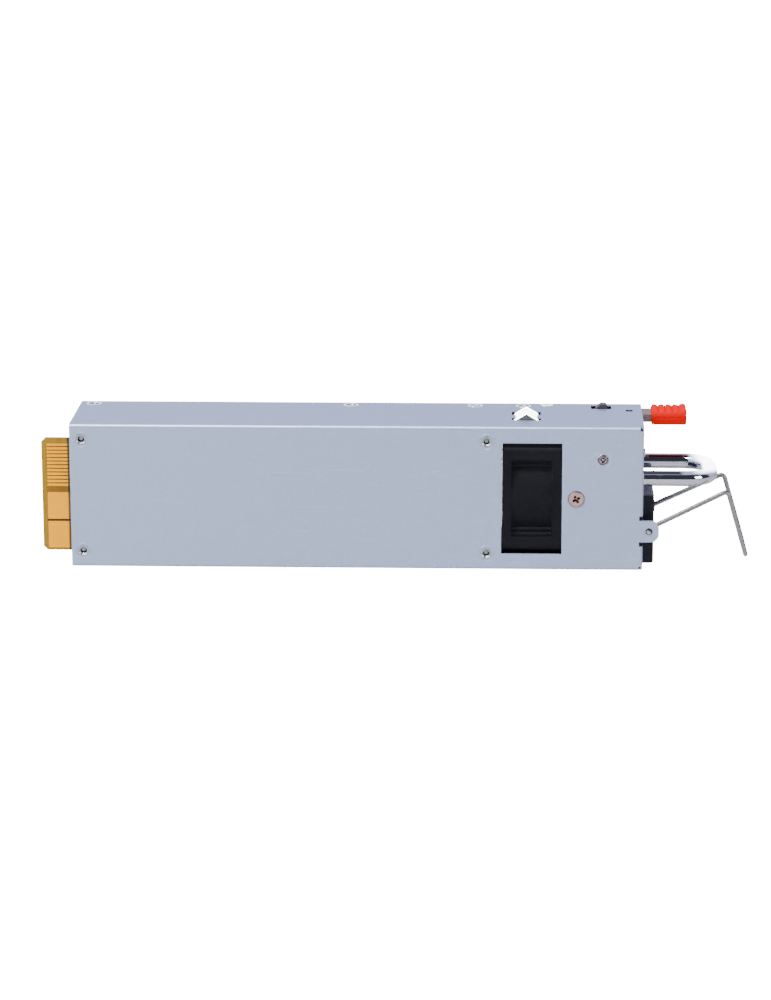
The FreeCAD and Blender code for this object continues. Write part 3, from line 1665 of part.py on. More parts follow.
def make_input_parts():
    """Relay, fuse, choke, film and disc capacitors, and the rectifier behind them."""
    floor = BOARD_FAR
    relay_xs = span_from(ROW_FRONT, v.relay_length * STRETCH)
    relay_zs = span_from(ROW_HIGH, v.relay_width)
    relay = box("relay", relay_xs, (floor, floor + v.relay_height), relay_zs)
    fuse_y = floor + v.fuse_radius + v.solder_gap
    fuse_at = (ROW_FRONT - v.fuse_radius, fuse_y, ROW_LOW + v.fuse_inset)
    fuse_body = rod("fuse", "z", fuse_at, v.fuse_length, v.fuse_radius)

    radius = v.choke_radius * STRETCH
    outside = radius + v.winding_wrap
    choke_x = relay_xs[0] - GAP - outside
    toroid = make_toroid(
        "choke_core", "choke_winding", choke_x, ROW_LOW + outside, radius,
        v.choke_bore * STRETCH, v.choke_height,
    )
    film_xs = span_from(relay_xs[0] - GAP, v.film_cap_length * STRETCH)
    film_zs = (ROW_LOW + outside * 2 + GAP, ROW_HIGH)
    film = box("film_capacitor", film_xs, (floor, floor + v.film_cap_height), film_zs)
    disc_x = film_xs[0] - GAP - v.disc_thickness
    discs = []
    for index in range(2):
        z = ROW_HIGH - v.disc_radius - (v.disc_radius * 2 + GAP) * index
        at = (disc_x, floor + v.disc_radius + v.solder_gap, z)
        discs.append(rod(f"disc_{index}", "x", at, v.disc_thickness, v.disc_radius))
    disc_group = group("disc_capacitors", discs)

    bridge_xs = span_from(choke_x - outside - GAP, v.bridge_length * STRETCH)
    half_bridge = v.bridge_width / 2
    bridge = box(
        "bridge_rectifier",
        bridge_xs,
        (floor, floor + v.bridge_height),
        (TOP / 2 - half_bridge, TOP / 2 + half_bridge),
    )
    cards = make_control_board(disc_x - GAP)
    return [relay, fuse_body, *toroid, film, disc_group, bridge, *cards], bridge_xs[0] - GAP


def make_bulk_capacitors(end_x):
    radius = (ROW_HIGH - ROW_LOW - GAP - v.bulk_spare) / 4
    length = v.bulk_length * STRETCH
    cans = []
    for index in range(2):
        z = ROW_LOW + radius + (radius * 2 + GAP) * index
        at = (end_x - length, BOARD_FAR + radius + v.solder_gap, z)
        cans.append(rod(f"bulk_{index}", "x", at, length, radius))
    return group("bulk_capacitors", cans)


def make_transformer(xs):
    """Ferrite frame with a middle limb, and a wound block round that limb."""
    floor = BOARD_FAR + v.solder_gap
    ys = (floor, floor + v.core_height)
    zs = (ROW_LOW + v.coil_wrap, ROW_LOW + v.coil_wrap + v.core_width)
    limb = v.core_width / 5
    window_ys = (ys[0] + limb, ys[1] - limb)
    middle_z = zs[0] + v.core_width / 2
    post_zs = (middle_z - limb / 2, middle_z + limb / 2)
    ferrite = box("ferrite_block", xs, ys, zs)
    window = box(
        "core_window", (xs[0] - 1, xs[1] + 1), window_ys, (zs[0] + limb, zs[1] - limb)
    )
    post = box("core_post", xs, window_ys, post_zs)
    core = fuse("transformer_core", cut("core_frame", ferrite, window), post)
    half_wrap = v.coil_wrap / 2
    coil = box(
        "coil_block",
        (xs[0] - half_wrap, xs[1] + half_wrap),
        (window_ys[0] + v.coil_gap, window_ys[1] - v.coil_gap),
        (post_zs[0] - v.coil_wrap, post_zs[1] + v.coil_wrap),
    )
    skin = v.seam
    void = box(
        "coil_void",
        (xs[0] - skin, xs[1] + skin),
        window_ys,
        (post_zs[0] - skin, post_zs[1] + skin),
    )
    return core, cut("transformer_coil", coil, void)


def make_heatsink(end_x):
    """Extruded fin plate: one upright web with a pattern of fins."""
    body = new_body("primary_heatsink")
    xs = span_from(end_x, v.sink_length * STRETCH)
    web_low = ROW_HIGH - v.sink_plate
    outline = new_sketch(body, "sink_web_outline", "XZ", BOARD_FAR)
    draw_rectangle(outline, xs, (web_low, ROW_HIGH))
    pad(body, "sink_web", outline, v.sink_height, "XZ", 1)
    fin = new_sketch(body, "sink_fin_outline", "XZ", BOARD_FAR + v.sink_height)
    draw_rectangle(fin, xs, (web_low - v.sink_fin_reach, web_low + v.sink_plate / 2))
    first = pad(body, "sink_fin", fin, v.sink_fin, "XZ", -1)
    doc.recompute()
    rows = body.newObject("PartDesign::LinearPattern", "sink_fins")
    rows.Originals = [first]
    across = [item for item in body.Origin.OriginFeatures if item.Role == "Y_Axis"][0]
    rows.Direction = (across, [""])
    rows.Reversed = True
    bind(rows, "Length", v.sink_fin_pitch * (SINK_FIN_COUNT - 1))
    rows.Occurrences = SINK_FIN_COUNT
    body.Tip = rows
    return body


def make_transistors(end_x):
    """Power switches clamped flat against the heatsink's web, below its fins."""
    packages = []
    face = ROW_HIGH - v.sink_plate
    length = v.transistor_length * STRETCH
    for index in range(TRANSISTOR_COUNT):
        high_x = end_x - v.transistor_inset - (length + v.transistor_gap * STRETCH) * index
        packages.append(
            box(
                f"transistor_{index}",
                span_from(high_x, length),
                (BOARD_FAR, BOARD_FAR + v.transistor_height),
                span_from(face, v.transistor_thickness),
            )
        )
    return group("power_transistors", packages)


def make_output_capacitors(end_x, low_z):
    cans = []
    radius = v.output_cap_radius * STRETCH
    pitch = radius * 2 + v.output_cap_gap
    for column in range(2):
        for row in range(2):
            at = (end_x - radius - pitch * column, BOARD_FAR, low_z + radius + pitch * row)
            name = f"output_can_{column}_{row}"
            cans.append(rod(name, "y", at, v.output_cap_height, radius))
    return group("output_capacitors", cans)


def make_control_board(end_x):
    """Upright daughter card over the input stage, with its chips."""
    length = v.control_board_length * STRETCH
    xs = span_from(end_x, length)
    zs = span_from(ROW_HIGH, v.control_board_thickness)
    card = box("control_board", xs, (BOARD_FAR, BOARD_FAR + v.control_board_height), zs)
    pitch = length / CHIP_COUNT
    chip_y = BOARD_FAR + v.control_board_height / 2
    chips = []
    for index in range(CHIP_COUNT):
        x = xs[0] + pitch * (index + 0.5)
        chips.append(
            box(
                f"chip_{index}",
                (x - v.chip_length / 2, x + v.chip_length / 2),
                (chip_y - v.chip_length / 2, chip_y + v.chip_length / 2),
                span_from(zs[0], v.chip_height),
            )
        )
    return card, group("control_chips", chips)


def make_electronics():
    """Row of power parts on the board's far face, laid out from the fan to the card edge."""
    made, edge = make_input_parts()
    radius = v.pfc_radius * STRETCH
    outside = radius + v.winding_wrap
    made += make_toroid(
        "pfc_core", "pfc_winding", edge - outside, ROW_LOW + outside, radius,
        v.pfc_bore * STRETCH, v.pfc_height,
    )
    bulk_end = edge - outside * 2 - GAP
    made.append(make_bulk_capacitors(bulk_end))
    power_end = bulk_end - v.bulk_length * STRETCH - GAP
    core_xs = span_from(power_end, v.core_length * STRETCH)
    made += make_transformer(core_xs)
    made.append(make_heatsink(power_end))
    made.append(make_transistors(power_end))

    output_end = core_xs[0] - v.coil_wrap - GAP
    inductor_low = ROW_LOW + v.inductor_inset
    inductor_high = inductor_low + v.inductor_width
    made.append(
        box(
            "output_inductor",
            span_from(output_end, v.inductor_length * STRETCH),
            (BOARD_FAR, BOARD_FAR + v.inductor_height),
            (inductor_low, inductor_high),
        )
    )
    made.append(make_output_capacitors(output_end, inductor_high + GAP))
    return made


def make_status_light():
    """Clear light guide through the front wall."""
    stem_length = v.gauge + v.led_setback + v.led_proud
    stem_at = (INNER_FRONT - v.led_setback, v.led_y, LIGHT_Z)
    stem = rod("light_stem", "x", stem_at, stem_length, v.led_radius)
    collar_at = (INNER_FRONT - v.led_collar, v.led_y, LIGHT_Z)
    collar_radius = v.led_radius + v.led_collar_lip
    collar = rod("light_collar", "x", collar_at, v.led_collar, collar_radius)
    return fuse("status_light", stem, collar)


# ---------------------------------------------------------------- assembly


nodes = [
    make_chassis(),
    make_cover(),
    make_cover_screws(),
    make_standoffs(),
    make_board_screws(),
    make_board(),
    make_signal_contacts(),
    make_power_contacts(),
    make_insulating_film(),
    make_fan_frame(),
    make_fan_rotor(),
    make_fan_shaft(),
    make_fan_stator(),
    make_fan_bracket(),
    make_fan_screws(),
    make_bracket_screw(),
    make_ground_stud(),
    make_ground_terminal(),
    make_ground_nut(),
    make_ground_clip(),
    make_latch_arm(),
    make_latch_grip(),
    make_latch_spring(),
    make_latch_rivet(),
    make_inlet(),
    make_inlet_pins(),
    make_handle(),
    make_handle_screws(),
    make_bail(),
    make_mains_lead("live_lead", 0),
    make_mains_lead("neutral_lead", 2),
    make_earth_lead(),
    make_fan_leads(),
    make_status_light(),
]
nodes += make_electronics()

doc.recompute()

for item in doc.Objects:
    if "Invalid" in item.State or "Error" in item.State:
        raise RuntimeError(f"{item.Name} did not rebuild: {item.State}")

os.makedirs("parts", exist_ok=True)
for node in nodes:
    shape = node.Shape
    if shape.isNull() or not shape.isValid() or not shape.Solids:
        raise RuntimeError(f"{node.Label} has no sound solid")
    shape.exportStep(f"parts/{node.Label}.step")
    print(f"{node.Label}: {len(shape.Solids)} solids, {shape.Volume:.1f} mm3")
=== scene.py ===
import bmesh
import bpy
import json
import math
from mathutils import Matrix, Vector


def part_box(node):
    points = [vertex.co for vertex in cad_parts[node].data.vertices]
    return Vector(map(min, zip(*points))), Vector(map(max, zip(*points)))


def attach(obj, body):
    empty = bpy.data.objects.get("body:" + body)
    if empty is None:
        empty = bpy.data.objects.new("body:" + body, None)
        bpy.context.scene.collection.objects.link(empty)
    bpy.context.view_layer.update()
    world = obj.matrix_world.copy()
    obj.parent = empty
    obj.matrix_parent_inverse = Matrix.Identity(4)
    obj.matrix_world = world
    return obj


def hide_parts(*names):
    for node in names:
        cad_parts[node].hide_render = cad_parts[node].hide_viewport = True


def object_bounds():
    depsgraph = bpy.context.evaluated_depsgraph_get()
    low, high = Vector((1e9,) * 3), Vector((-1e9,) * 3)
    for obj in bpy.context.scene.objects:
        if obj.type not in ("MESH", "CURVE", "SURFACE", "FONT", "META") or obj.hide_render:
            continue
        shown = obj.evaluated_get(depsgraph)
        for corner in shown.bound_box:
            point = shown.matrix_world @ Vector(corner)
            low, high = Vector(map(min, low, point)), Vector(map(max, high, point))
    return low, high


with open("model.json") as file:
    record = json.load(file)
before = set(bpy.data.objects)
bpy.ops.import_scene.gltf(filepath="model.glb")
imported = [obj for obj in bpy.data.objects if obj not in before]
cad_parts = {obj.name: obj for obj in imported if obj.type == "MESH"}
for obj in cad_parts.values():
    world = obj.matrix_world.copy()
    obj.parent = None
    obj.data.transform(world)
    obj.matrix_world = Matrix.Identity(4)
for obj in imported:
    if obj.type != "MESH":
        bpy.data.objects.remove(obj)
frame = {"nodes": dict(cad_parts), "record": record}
CAD_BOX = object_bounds()
NODES = frame["nodes"]

MM = 0.001


def box_mm(name):
    """Lowest and highest corner of a kept node, in millimetres."""
    return [Vector(corner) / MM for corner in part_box(name)]


CASE_LOW, CASE_HIGH = box_mm("chassis")
NEAR, BACK, TOP = CASE_LOW.y, CASE_LOW.x, CASE_HIGH.z
FAR = box_mm("cover")[1].y
BOARD_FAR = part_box("main_board")[1][1] / MM
SHEET_GAUGE = 0.8
JOINTS = {joint["name"]: joint for joint in frame["record"]["behaviour"]["joints"]}
PIVOT_X, _, PIVOT_Z = (value / MM for value in JOINTS["bail_swing"]["pos_m"])
KNEE_X = 137.7  # where the bail's arms bend


# ---------------------------------------------------------------- mesh helpers, in millimetres

TURNS = {
    "+y": Matrix.Rotation(-math.pi / 2, 4, "X"),
    "-y": Matrix.Rotation(math.pi / 2, 4, "X"),
    "+z": Matrix.Identity(4),
    "-z": Matrix.Rotation(math.pi, 4, "X"),
}


def seat(at, facing):
    """Matrix that stands local +Z along a world direction at a point."""
    return Matrix.Translation(at) @ TURNS[facing]


def add_points(bm, matrix, points):
    """New vertices at points that a matrix carries into place."""
    return [bm.verts.new(matrix @ Vector(point)) for point in points]


def bridge(bm, lower, upper):
    """Faces between two rings; a ring of one point is a pole."""
    count = max(len(lower), len(upper))
    for index in range(count):
        after = (index + 1) % count
        if len(lower) == 1:
            bm.faces.new((lower[0], upper[after], upper[index]))
        elif len(upper) == 1:
            bm.faces.new((lower[index], lower[after], upper[0]))
        else:
            bm.faces.new((lower[index], lower[after], upper[after], upper[index]))


def lathe(bm, matrix, profile, segments=48):
    """Revolves (radius, height) points about local Z; returns the rings."""
    rings = []
    for radius, height in profile:
        if radius == 0:
            rings.append(add_points(bm, matrix, [(0, 0, height)]))
            continue
        points = []
        for index in range(segments):
            angle = math.tau * index / segments
            points.append((radius * math.cos(angle), radius * math.sin(angle), height))
        rings.append(add_points(bm, matrix, points))
    for lower, upper in zip(rings, rings[1:]):
        bridge(bm, lower, upper)
    return rings


def ring_edges(bm, ring):
    """The edges round a ring, made where they are missing."""
    edges = []
    for one, two in zip(ring, ring[1:] + ring[:1]):
        edges.append(bm.edges.get((one, two)) or bm.edges.new((one, two)))
    return edges


def fill_between(bm, outer, *holes):
    """A flat face inside one ring and outside the others."""
    edges = ring_edges(bm, outer)
    for hole in holes:
        edges += ring_edges(bm, hole)
    bmesh.ops.triangle_fill(bm, use_beauty=True, use_dissolve=False, edges=edges)


def near_seat(low, high):
    """Matrix that stands a round solid out of the near wall, and the solid's radius."""
    at = ((low.x + high.x) / 2, NEAR, (low.z + high.z) / 2)
    return seat(at, "-y"), (high.x - low.x) / 2


def cross_points(reach, width, height):
    """Outline of a cross recess with rounded arms and softened inner corners."""
    half = width / 2
    quarter = [
        (reach - half * 0.4, -half), (reach, -half * 0.4), (reach, half * 0.4),
        (reach - half * 0.4, half), (half * 1.5, half), (half * 1.12, half * 1.12),
        (half, half * 1.5),
    ]
    points = []
    for turn in range(4):
        spin = Matrix.Rotation(turn * math.pi / 2, 2)
        for point in quarter:
            flat = spin @ Vector(point)
            points.append((flat.x, flat.y, height))
    return points


# shares of the reach, the width and the depth, from the mouth of a cross recess to its floor
CROSS_TAPER = ((1, 1, 0), (0.95, 0.9, 0.1), (0.74, 0.74, 0.7), (0.4, 0.5, 1))


def cross_recess(bm, matrix, rim, height, reach, width, depth, turn):
    """Fills a screw's top ring with a flat that has a tapered cross recess in it."""
    turned = matrix @ Matrix.Rotation(turn, 4, "Z")
    rings = []
    for reach_share, width_share, drop in CROSS_TAPER:
        outline = cross_points(reach * reach_share, width * width_share, height - depth * drop)
        rings.append(add_points(bm, turned, outline))
    fill_between(bm, rim, rings[0])
    for upper, lower in zip(rings, rings[1:]):
        bridge(bm, upper, lower)
    fill_between(bm, rings[-1])


def thread(bm, matrix, root, crest, pitch, low, high, segments=24):
    """A helical thread between two heights; a crest below the root is an inner thread."""
    turns = (high - low) / pitch
    steps = int(turns * segments)
    strips = []
    for step in range(steps + 1):
        angle = math.tau * step / segments
        rise = low + pitch * step / segments
        row = []
        for radius, lift in ((root, 0), (crest, 0.42), (crest, 0.58), (root, 1)):
            height = min(rise + pitch * lift, high)
            row.append((radius * math.cos(angle), radius * math.sin(angle), height))
        strips.append(add_points(bm, matrix, row))
    for one, two in zip(strips, strips[1:]):
        for index in range(3):
            bm.faces.new((one[index], two[index], two[index + 1], one[index + 1]))


def link_object(name, data):
    """A new object in the scene."""
    item = bpy.data.objects.new(name, data)
    bpy.context.scene.collection.objects.link(item)
    return item


def finish_piece(name, bm, body, slot, finish=None, sharp=35, join=True):
    """Turns the mesh into a smooth-shaded piece in metres that rides on a body."""
    if join:
        bmesh.ops.remove_doubles(bm, verts=bm.verts, dist=0.0005)
    bmesh.ops.recalc_face_normals(bm, faces=bm.faces)
    bmesh.ops.scale(bm, vec=(MM, MM, MM), verts=bm.verts)
    mesh = bpy.data.meshes.new(name)
    bm.to_mesh(mesh)
    bm.free()
    piece = link_object(name, mesh)
    mesh.shade_smooth()
    mesh.set_sharp_from_angle(angle=math.radians(sharp))
    mesh.materials.append(MATERIALS[finish or slot])
    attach(piece, body)
    return piece


# ---------------------------------------------------------------- shader helpers


def feed(tree, socket, value):
    """Joins a socket to an input, or sets the input to a plain value."""
    if isinstance(value, bpy.types.NodeSocket):
        tree.links.new(value, socket)
    elif isinstance(value, (tuple, list)) and socket.type == "RGBA":
        socket.default_value = (*value[:3], 1)
    else:
        socket.default_value = value


def add(tree, kind, **inputs):
    """A new node with its inputs fed by name."""
    node = tree.nodes.new(kind)
    for name, value in inputs.items():
        feed(tree, node.inputs[name], value)
    return node


def sums(tree, operation, *values, clamp=False):
    """The result of one step of arithmetic on one or two values."""
    node = tree.nodes.new("ShaderNodeMath")
    node.operation = operation
    node.use_clamp = clamp
    for socket, value in zip(node.inputs, values):
        feed(tree, socket, value)
    return node.outputs[0]


def plus(tree, one, two):
    return sums(tree, "ADD", one, two)


def minus(tree, one, two):
    return sums(tree, "SUBTRACT", one, two)


def times(tree, first, *others):
    """The product of two or more values."""
    for other in others:
        first = sums(tree, "MULTIPLY", first, other)
    return first


def mixture(tree, one, two, share):
    """Two values added in shares that make up one."""
    return plus(tree, times(tree, one, share), times(tree, two, 1 - share))


def away_from(tree, value, middle):
    """How far a value is from a middle one, either way."""
    return sums(tree, "ABSOLUTE", minus(tree, value, middle))


def remap(tree, value, low, high, to_low=0.0, to_high=1.0, smooth=False):
    """Carries a value from one range to another and holds it at the ends."""
    node = tree.nodes.new("ShaderNodeMapRange")
    node.interpolation_type = "SMOOTHSTEP" if smooth else "LINEAR"
    labels = ("Value", "From Min", "From Max", "To Min", "To Max")
    for label, number in zip(labels, (value, low, high, to_low, to_high)):
        feed(tree, node.inputs[label], number)
    return node.outputs[0]


def between(tree, share, at_nought, at_one):
    """Runs from one value to another as a share goes from 0 to 1."""
    return remap(tree, share, 0.0, 1.0, at_nought, at_one)


def ramp(tree, value, start, end, *results, smooth=False):
    """Remaps a length in metres between two places in millimetres."""
    return remap(tree, value, start * MM, end * MM, *results, smooth=smooth)


def noise(tree, vector, scale, detail=2.0, roughness=0.5, distortion=0.0):
    node = add(tree, "ShaderNodeTexNoise", Vector=vector, Scale=scale, Detail=detail)
    feed(tree, node.inputs["Roughness"], roughness)
    feed(tree, node.inputs["Distortion"], distortion)
    return node.outputs["Fac"]


def stretched(tree, vector, scale, turn=(0, 0, 0)):
    """Coordinates turned by angles in degrees and scaled along each axis."""
    angles = [math.radians(angle) for angle in turn]
    node = add(tree, "ShaderNodeMapping", Vector=vector, Scale=scale, Rotation=angles)
    return node.outputs[0]


def blend(tree, factor, one, two, mode="MIX"):
    """Goes from one colour to another as a factor goes from 0 to 1."""
    node = tree.nodes.new("ShaderNodeMix")
    node.data_type = "RGBA"
    node.blend_type = mode
    feed(tree, node.inputs["Factor"], factor)
    feed(tree, node.inputs[6], one)
    feed(tree, node.inputs[7], two)
    return node.outputs[2]


def grey(tree, value):
    node = add(tree, "ShaderNodeCombineColor", Red=value, Green=value, Blue=value)
    return node.outputs[0]


def scaled(colour, factor):
    return tuple(channel * factor for channel in colour)


def parts_of(tree, vector):
    """The X, Y and Z of a vector."""
    return add(tree, "ShaderNodeSeparateXYZ", Vector=vector).outputs


def new_group(name, inputs, outputs):
    """An empty node group with vector or value inputs and value outputs."""
    tree = bpy.data.node_groups.new(name, "ShaderNodeTree")
    for label, kind in inputs:
        tree.interface.new_socket(label, in_out="INPUT", socket_type=kind)
    for label in outputs:
        tree.interface.new_socket(label, in_out="OUTPUT", socket_type="NodeSocketFloat")
    source = tree.nodes.new("NodeGroupInput").outputs
    drain = tree.nodes.new("NodeGroupOutput").inputs
    return tree, source, drain


VECTOR_AND_SCALE = (("Vector", "NodeSocketVector"), ("Scale", "NodeSocketFloat"))


def make_cloud_group():
    """Slow variation of tone, as in rolled or plated metal: Tone is centred on 0.5."""
    tree, source, drain = new_group("cloud", VECTOR_AND_SCALE, ("Tone",))
    broad = noise(tree, source["Vector"], source["Scale"], 3.0, 0.55)
    finer = noise(tree, source["Vector"], times(tree, source["Scale"], 7.3))
    mixed = mixture(tree, broad, finer, 0.7)
    feed(tree, drain["Tone"], remap(tree, mixed, 0.32, 0.68))
    return tree


def make_grain_group():
    """Fine isotropic grain: Height for bumps, Tone for colour."""
    tree, source, drain = new_group("grain", VECTOR_AND_SCALE, ("Tone", "Height"))
    coarse = noise(tree, source["Vector"], source["Scale"], 4.0, 0.62)
    fine = noise(tree, source["Vector"], times(tree, source["Scale"], 4.1), 2.0, 0.6)
    feed(tree, drain["Tone"], remap(tree, coarse, 0.35, 0.65))
    feed(tree, drain["Height"], mixture(tree, coarse, fine, 0.6))
    return tree


def make_scratch_group():
    """Thin handling scratches in three directions: Mask is 1 on a scratch."""
    tree, source, drain = new_group("scratches", VECTOR_AND_SCALE, ("Mask",))
    total = None
    for turn in ((0, 8, 0), (0, -31, 14), (0, 64, -9)):
        along = stretched(tree, source["Vector"], (0.05, 1.0, 1.0), turn)
        streak = noise(tree, along, source["Scale"], 1.0, 0.4, 0.3)
        line = remap(tree, away_from(tree, streak, 0.5), 0.008, 0.0)
        patch = noise(tree, along, times(tree, source["Scale"], 0.11))
        line = sums(tree, "MULTIPLY", line, remap(tree, patch, 0.52, 0.66), clamp=True)
        total = line if total is None else sums(tree, "MAXIMUM", total, line)
    feed(tree, drain["Mask"], total)
    return tree


def make_drawn_group():
    """Lines left along one axis by drawing or rolling: stretch the vector first."""
    tree, source, drain = new_group("drawn", VECTOR_AND_SCALE, ("Tone", "Height"))
    wide = noise(tree, source["Vector"], source["Scale"], 3.0, 0.6)
    fine = noise(tree, source["Vector"], times(tree, source["Scale"], 3.3), 2.0, 0.6)
    both = mixture(tree, wide, fine, 0.55)
    feed(tree, drain["Tone"], remap(tree, both, 0.36, 0.64))
    feed(tree, drain["Height"], both)
    return tree


def make_spark_group():
    """Spark-eroded texture of a moulded part."""
    tree, source, drain = new_group("spark", VECTOR_AND_SCALE, ("Height",))
    cells = add(tree, "ShaderNodeTexVoronoi", Vector=source["Vector"], Scale=source["Scale"])
    pits = remap(tree, cells.outputs["Distance"], 0.1, 0.6)
    soft = noise(tree, source["Vector"], times(tree, source["Scale"], 0.6), 3.0, 0.6)
    feed(tree, drain["Height"], mixture(tree, pits, soft, 0.5))
    return tree


def make_recess_group():
    """How open a spot is to the light, from the walls within reach of it."""
    inputs = [(label, "NodeSocketFloat") for label in ("Reach", "Low", "High")]
    tree, source, drain = new_group("recess", inputs, ("Open",))
    walls = add(tree, "ShaderNodeAmbientOcclusion", Distance=source["Reach"])
    walls.samples = 8
    amount = remap(tree, walls.outputs["AO"], source["Low"], source["High"], smooth=True)
    feed(tree, drain["Open"], amount)
    return tree


def make_facing_group():
    """The world direction that a surface faces, one part for each axis."""
    tree, _, drain = new_group("facing", (), ("X", "Y", "Z"))
    normal = tree.nodes.new("ShaderNodeNewGeometry").outputs["Normal"]
    for axis, part in zip("XYZ", parts_of(tree, normal)):
        feed(tree, drain[axis], part)
    return tree


GROUPS = {
    "cloud": make_cloud_group(),
    "grain": make_grain_group(),
    "scratches": make_scratch_group(),
    "drawn": make_drawn_group(),
    "spark": make_spark_group(),
    "recess": make_recess_group(),
    "facing": make_facing_group(),
}


def use(tree, name, *values):
    """Puts a shared group in a material, its inputs fed in order; returns its outputs."""
    node = tree.nodes.new("ShaderNodeGroup")
    node.node_tree = GROUPS[name]
    for socket, value in zip(node.inputs, values):
        feed(tree, socket, value)
    return node.outputs


def cloudy(tree, place, scale):
    """The tone of the shared cloud, from 0 to 1."""
    return use(tree, "cloud", place, scale)["Tone"]


def open_to_light(tree, reach, low, high):
    """1 on an open surface, 0 deep in a recess; reach is how far its walls count, in mm."""
    return use(tree, "recess", reach * MM, low, high)["Open"]


def facing(tree, axis):
    """How much a surface faces along a world axis, from -1 to 1."""
    return use(tree, "facing")[axis]


def facing_up(tree, low, high, *results):
    """Remaps how much a surface faces up, from -1 to 1."""
    return remap(tree, facing(tree, "Z"), low, high, *results)


def side_on(tree):
    """How much a surface faces the near side or the far side, from 0 to 1."""
    return sums(tree, "ABSOLUTE", facing(tree, "Y"))


def start_material(name, **fixed):
    """A Principled material; returns its tree, a way to feed its inputs, and its coordinates."""
    material = bpy.data.materials.new(name)
    material.use_nodes = True
    tree = material.node_tree
    shader = tree.nodes["Principled BSDF"]

    def put(label, value):
        feed(tree, shader.inputs[label], value)

    for label, value in fixed.items():
        put(label.replace("_", " "), value)
    place = tree.nodes.new("ShaderNodeTexCoord").outputs["Object"]
    return material, tree, put, place


def bump(tree, height, distance):
    """A bump whose full height is a distance in millimetres."""
    node = add(tree, "ShaderNodeBump", Height=height, Distance=distance * MM, Strength=1.0)
    return node.outputs[0]


def viewer(tree):
    """1 where the camera sees a surface directly, 0 for all other light."""
    return tree.nodes.new("ShaderNodeLightPath").outputs["Is Camera Ray"]


def camera_only(tree, value):
    """A value that only the viewer sees, so that it lights nothing else."""
    return times(tree, viewer(tree), value)


def show_glow(tree, put, colour, share, strength):
    """Light that only the viewer sees: a colour where a share is 1, nothing where it is 0."""
    put("Emission Color", blend(tree, share, (0.0, 0.0, 0.0), colour))
    put("Emission Strength", camera_only(tree, strength))


PLATING_GRAIN = 900


def plated_metal(name, colour, dark, roughness, hollow=None, glint=0.0):
    """Plated or bare metal: mottled tone, fine grain and a few scratches.

    A hollow is the reach of its walls in mm and the colour of its painted shade; a painted glint,
    which only the camera sees, shows on the flat tops.
    """
    material, tree, put, place = start_material(name, Metallic=1.0)
    cloud = cloudy(tree, place, PLATING_GRAIN / 22)
    grain = use(tree, "grain", place, PLATING_GRAIN)
    scratch = use(tree, "scratches", place, PLATING_GRAIN / 1.6)["Mask"]
    tone = mixture(tree, cloud, grain["Tone"], 0.6)
    lighter = tuple(min(channel * 1.25, 1.0) for channel in colour)
    base = blend(tree, scratch, blend(tree, tone, dark, colour), lighter)
    if hollow:
        reach, shade = hollow
        # painted shade: in recesses the colour darkens towards the hollow's colour
        open_sky = open_to_light(tree, reach, 0.35, 0.85)
        base = blend(tree, open_sky, shade, base)
        # painted glint: light that only the camera sees, on upward faces at the top wall's level
        upward = facing_up(tree, 0.5, 0.8)
        raised = ramp(tree, parts_of(tree, place)["Z"], TOP - 0.14, TOP - 0.06)
        show_glow(tree, put, base, times(tree, upward, raised, open_sky), glint)
    put("Base Color", base)
    rough = between(tree, tone, roughness * 1.2, roughness * 0.82)
    put("Roughness", minus(tree, rough, times(tree, scratch, roughness * 0.35)))
    rise = minus(tree, grain["Height"], times(tree, scratch, 0.5))
    put("Normal", bump(tree, rise, 0.01))
    return material


def moulded_plastic(name, colour, deep, roughness, scale=1500, bump_depth=0.02, **fixed):
    """Moulded plastic with a fine eroded texture and slight flow marks."""
    material, tree, put, place = start_material(name, **fixed)
    cloud = cloudy(tree, place, scale / 20)
    put("Base Color", blend(tree, cloud, deep, colour))
    height = use(tree, "spark", place, scale)["Height"]
    rough = remap(tree, height, 0.2, 0.8, roughness * 0.85, roughness * 1.15)
    put("Roughness", rough)
    put("Normal", bump(tree, height, bump_depth))
    return material


def solids_of(name):
    """Lowest and highest corner, in millimetres, of each separate solid of a node."""
    bm = bmesh.new()
    bm.from_mesh(NODES[name].data)
    bmesh.ops.remove_doubles(bm, verts=bm.verts, dist=1e-6)
    left = set(bm.verts)
    boxes = []
    while left:
        stack = [left.pop()]
        found = []
        while stack:
            vert = stack.pop()
            found.append(vert.co / MM)
            for edge in vert.link_edges:
                other = edge.other_vert(vert)
                if other in left:
                    left.remove(other)
                    stack.append(other)
        low = Vector(min(point[axis] for point in found) for axis in range(3))
        high = Vector(max(point[axis] for point in found) for axis in range(3))
        boxes.append((low, high))
    bm.free()
    return sorted(boxes, key=lambda pair: tuple(pair[0]))


# ---------------------------------------------------------------- materials

# strengths of the painted light that only the camera sees: a painted highlight on the clip's roof
# and on the handle's bend, and a painted glow on the gold lands
CLIP_GLOW, CHROME_GLOW, GOLD_GLOW = 13.0, 9.0, 0.55

# places along the case: the contacts' outer ends, the bend in the handle, the strip's hook
CONTACT_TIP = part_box("power_contacts")[0][0] / MM
BEND_START = 123.5
CATCH_LOW, CATCH_HIGH = 86.8, 95.5

ZINC_METALLIC = 0.6
ZINC_ROUGH = 0.36
ZINC_COOL = (0.455, 0.555, 0.80)
ZINC_WARM = (0.495, 0.575, 0.81)
ZINC_SHADE = (0.008, 0.0085, 0.012)
ZINC_FAR_EDGE_DARK = (0.13, 0.115, 0.11)
ZINC_FOLD_HIGHLIGHT = (0.64, 0.80, 1.0)
ZINC_SCRATCH = (0.72, 0.80, 0.98)


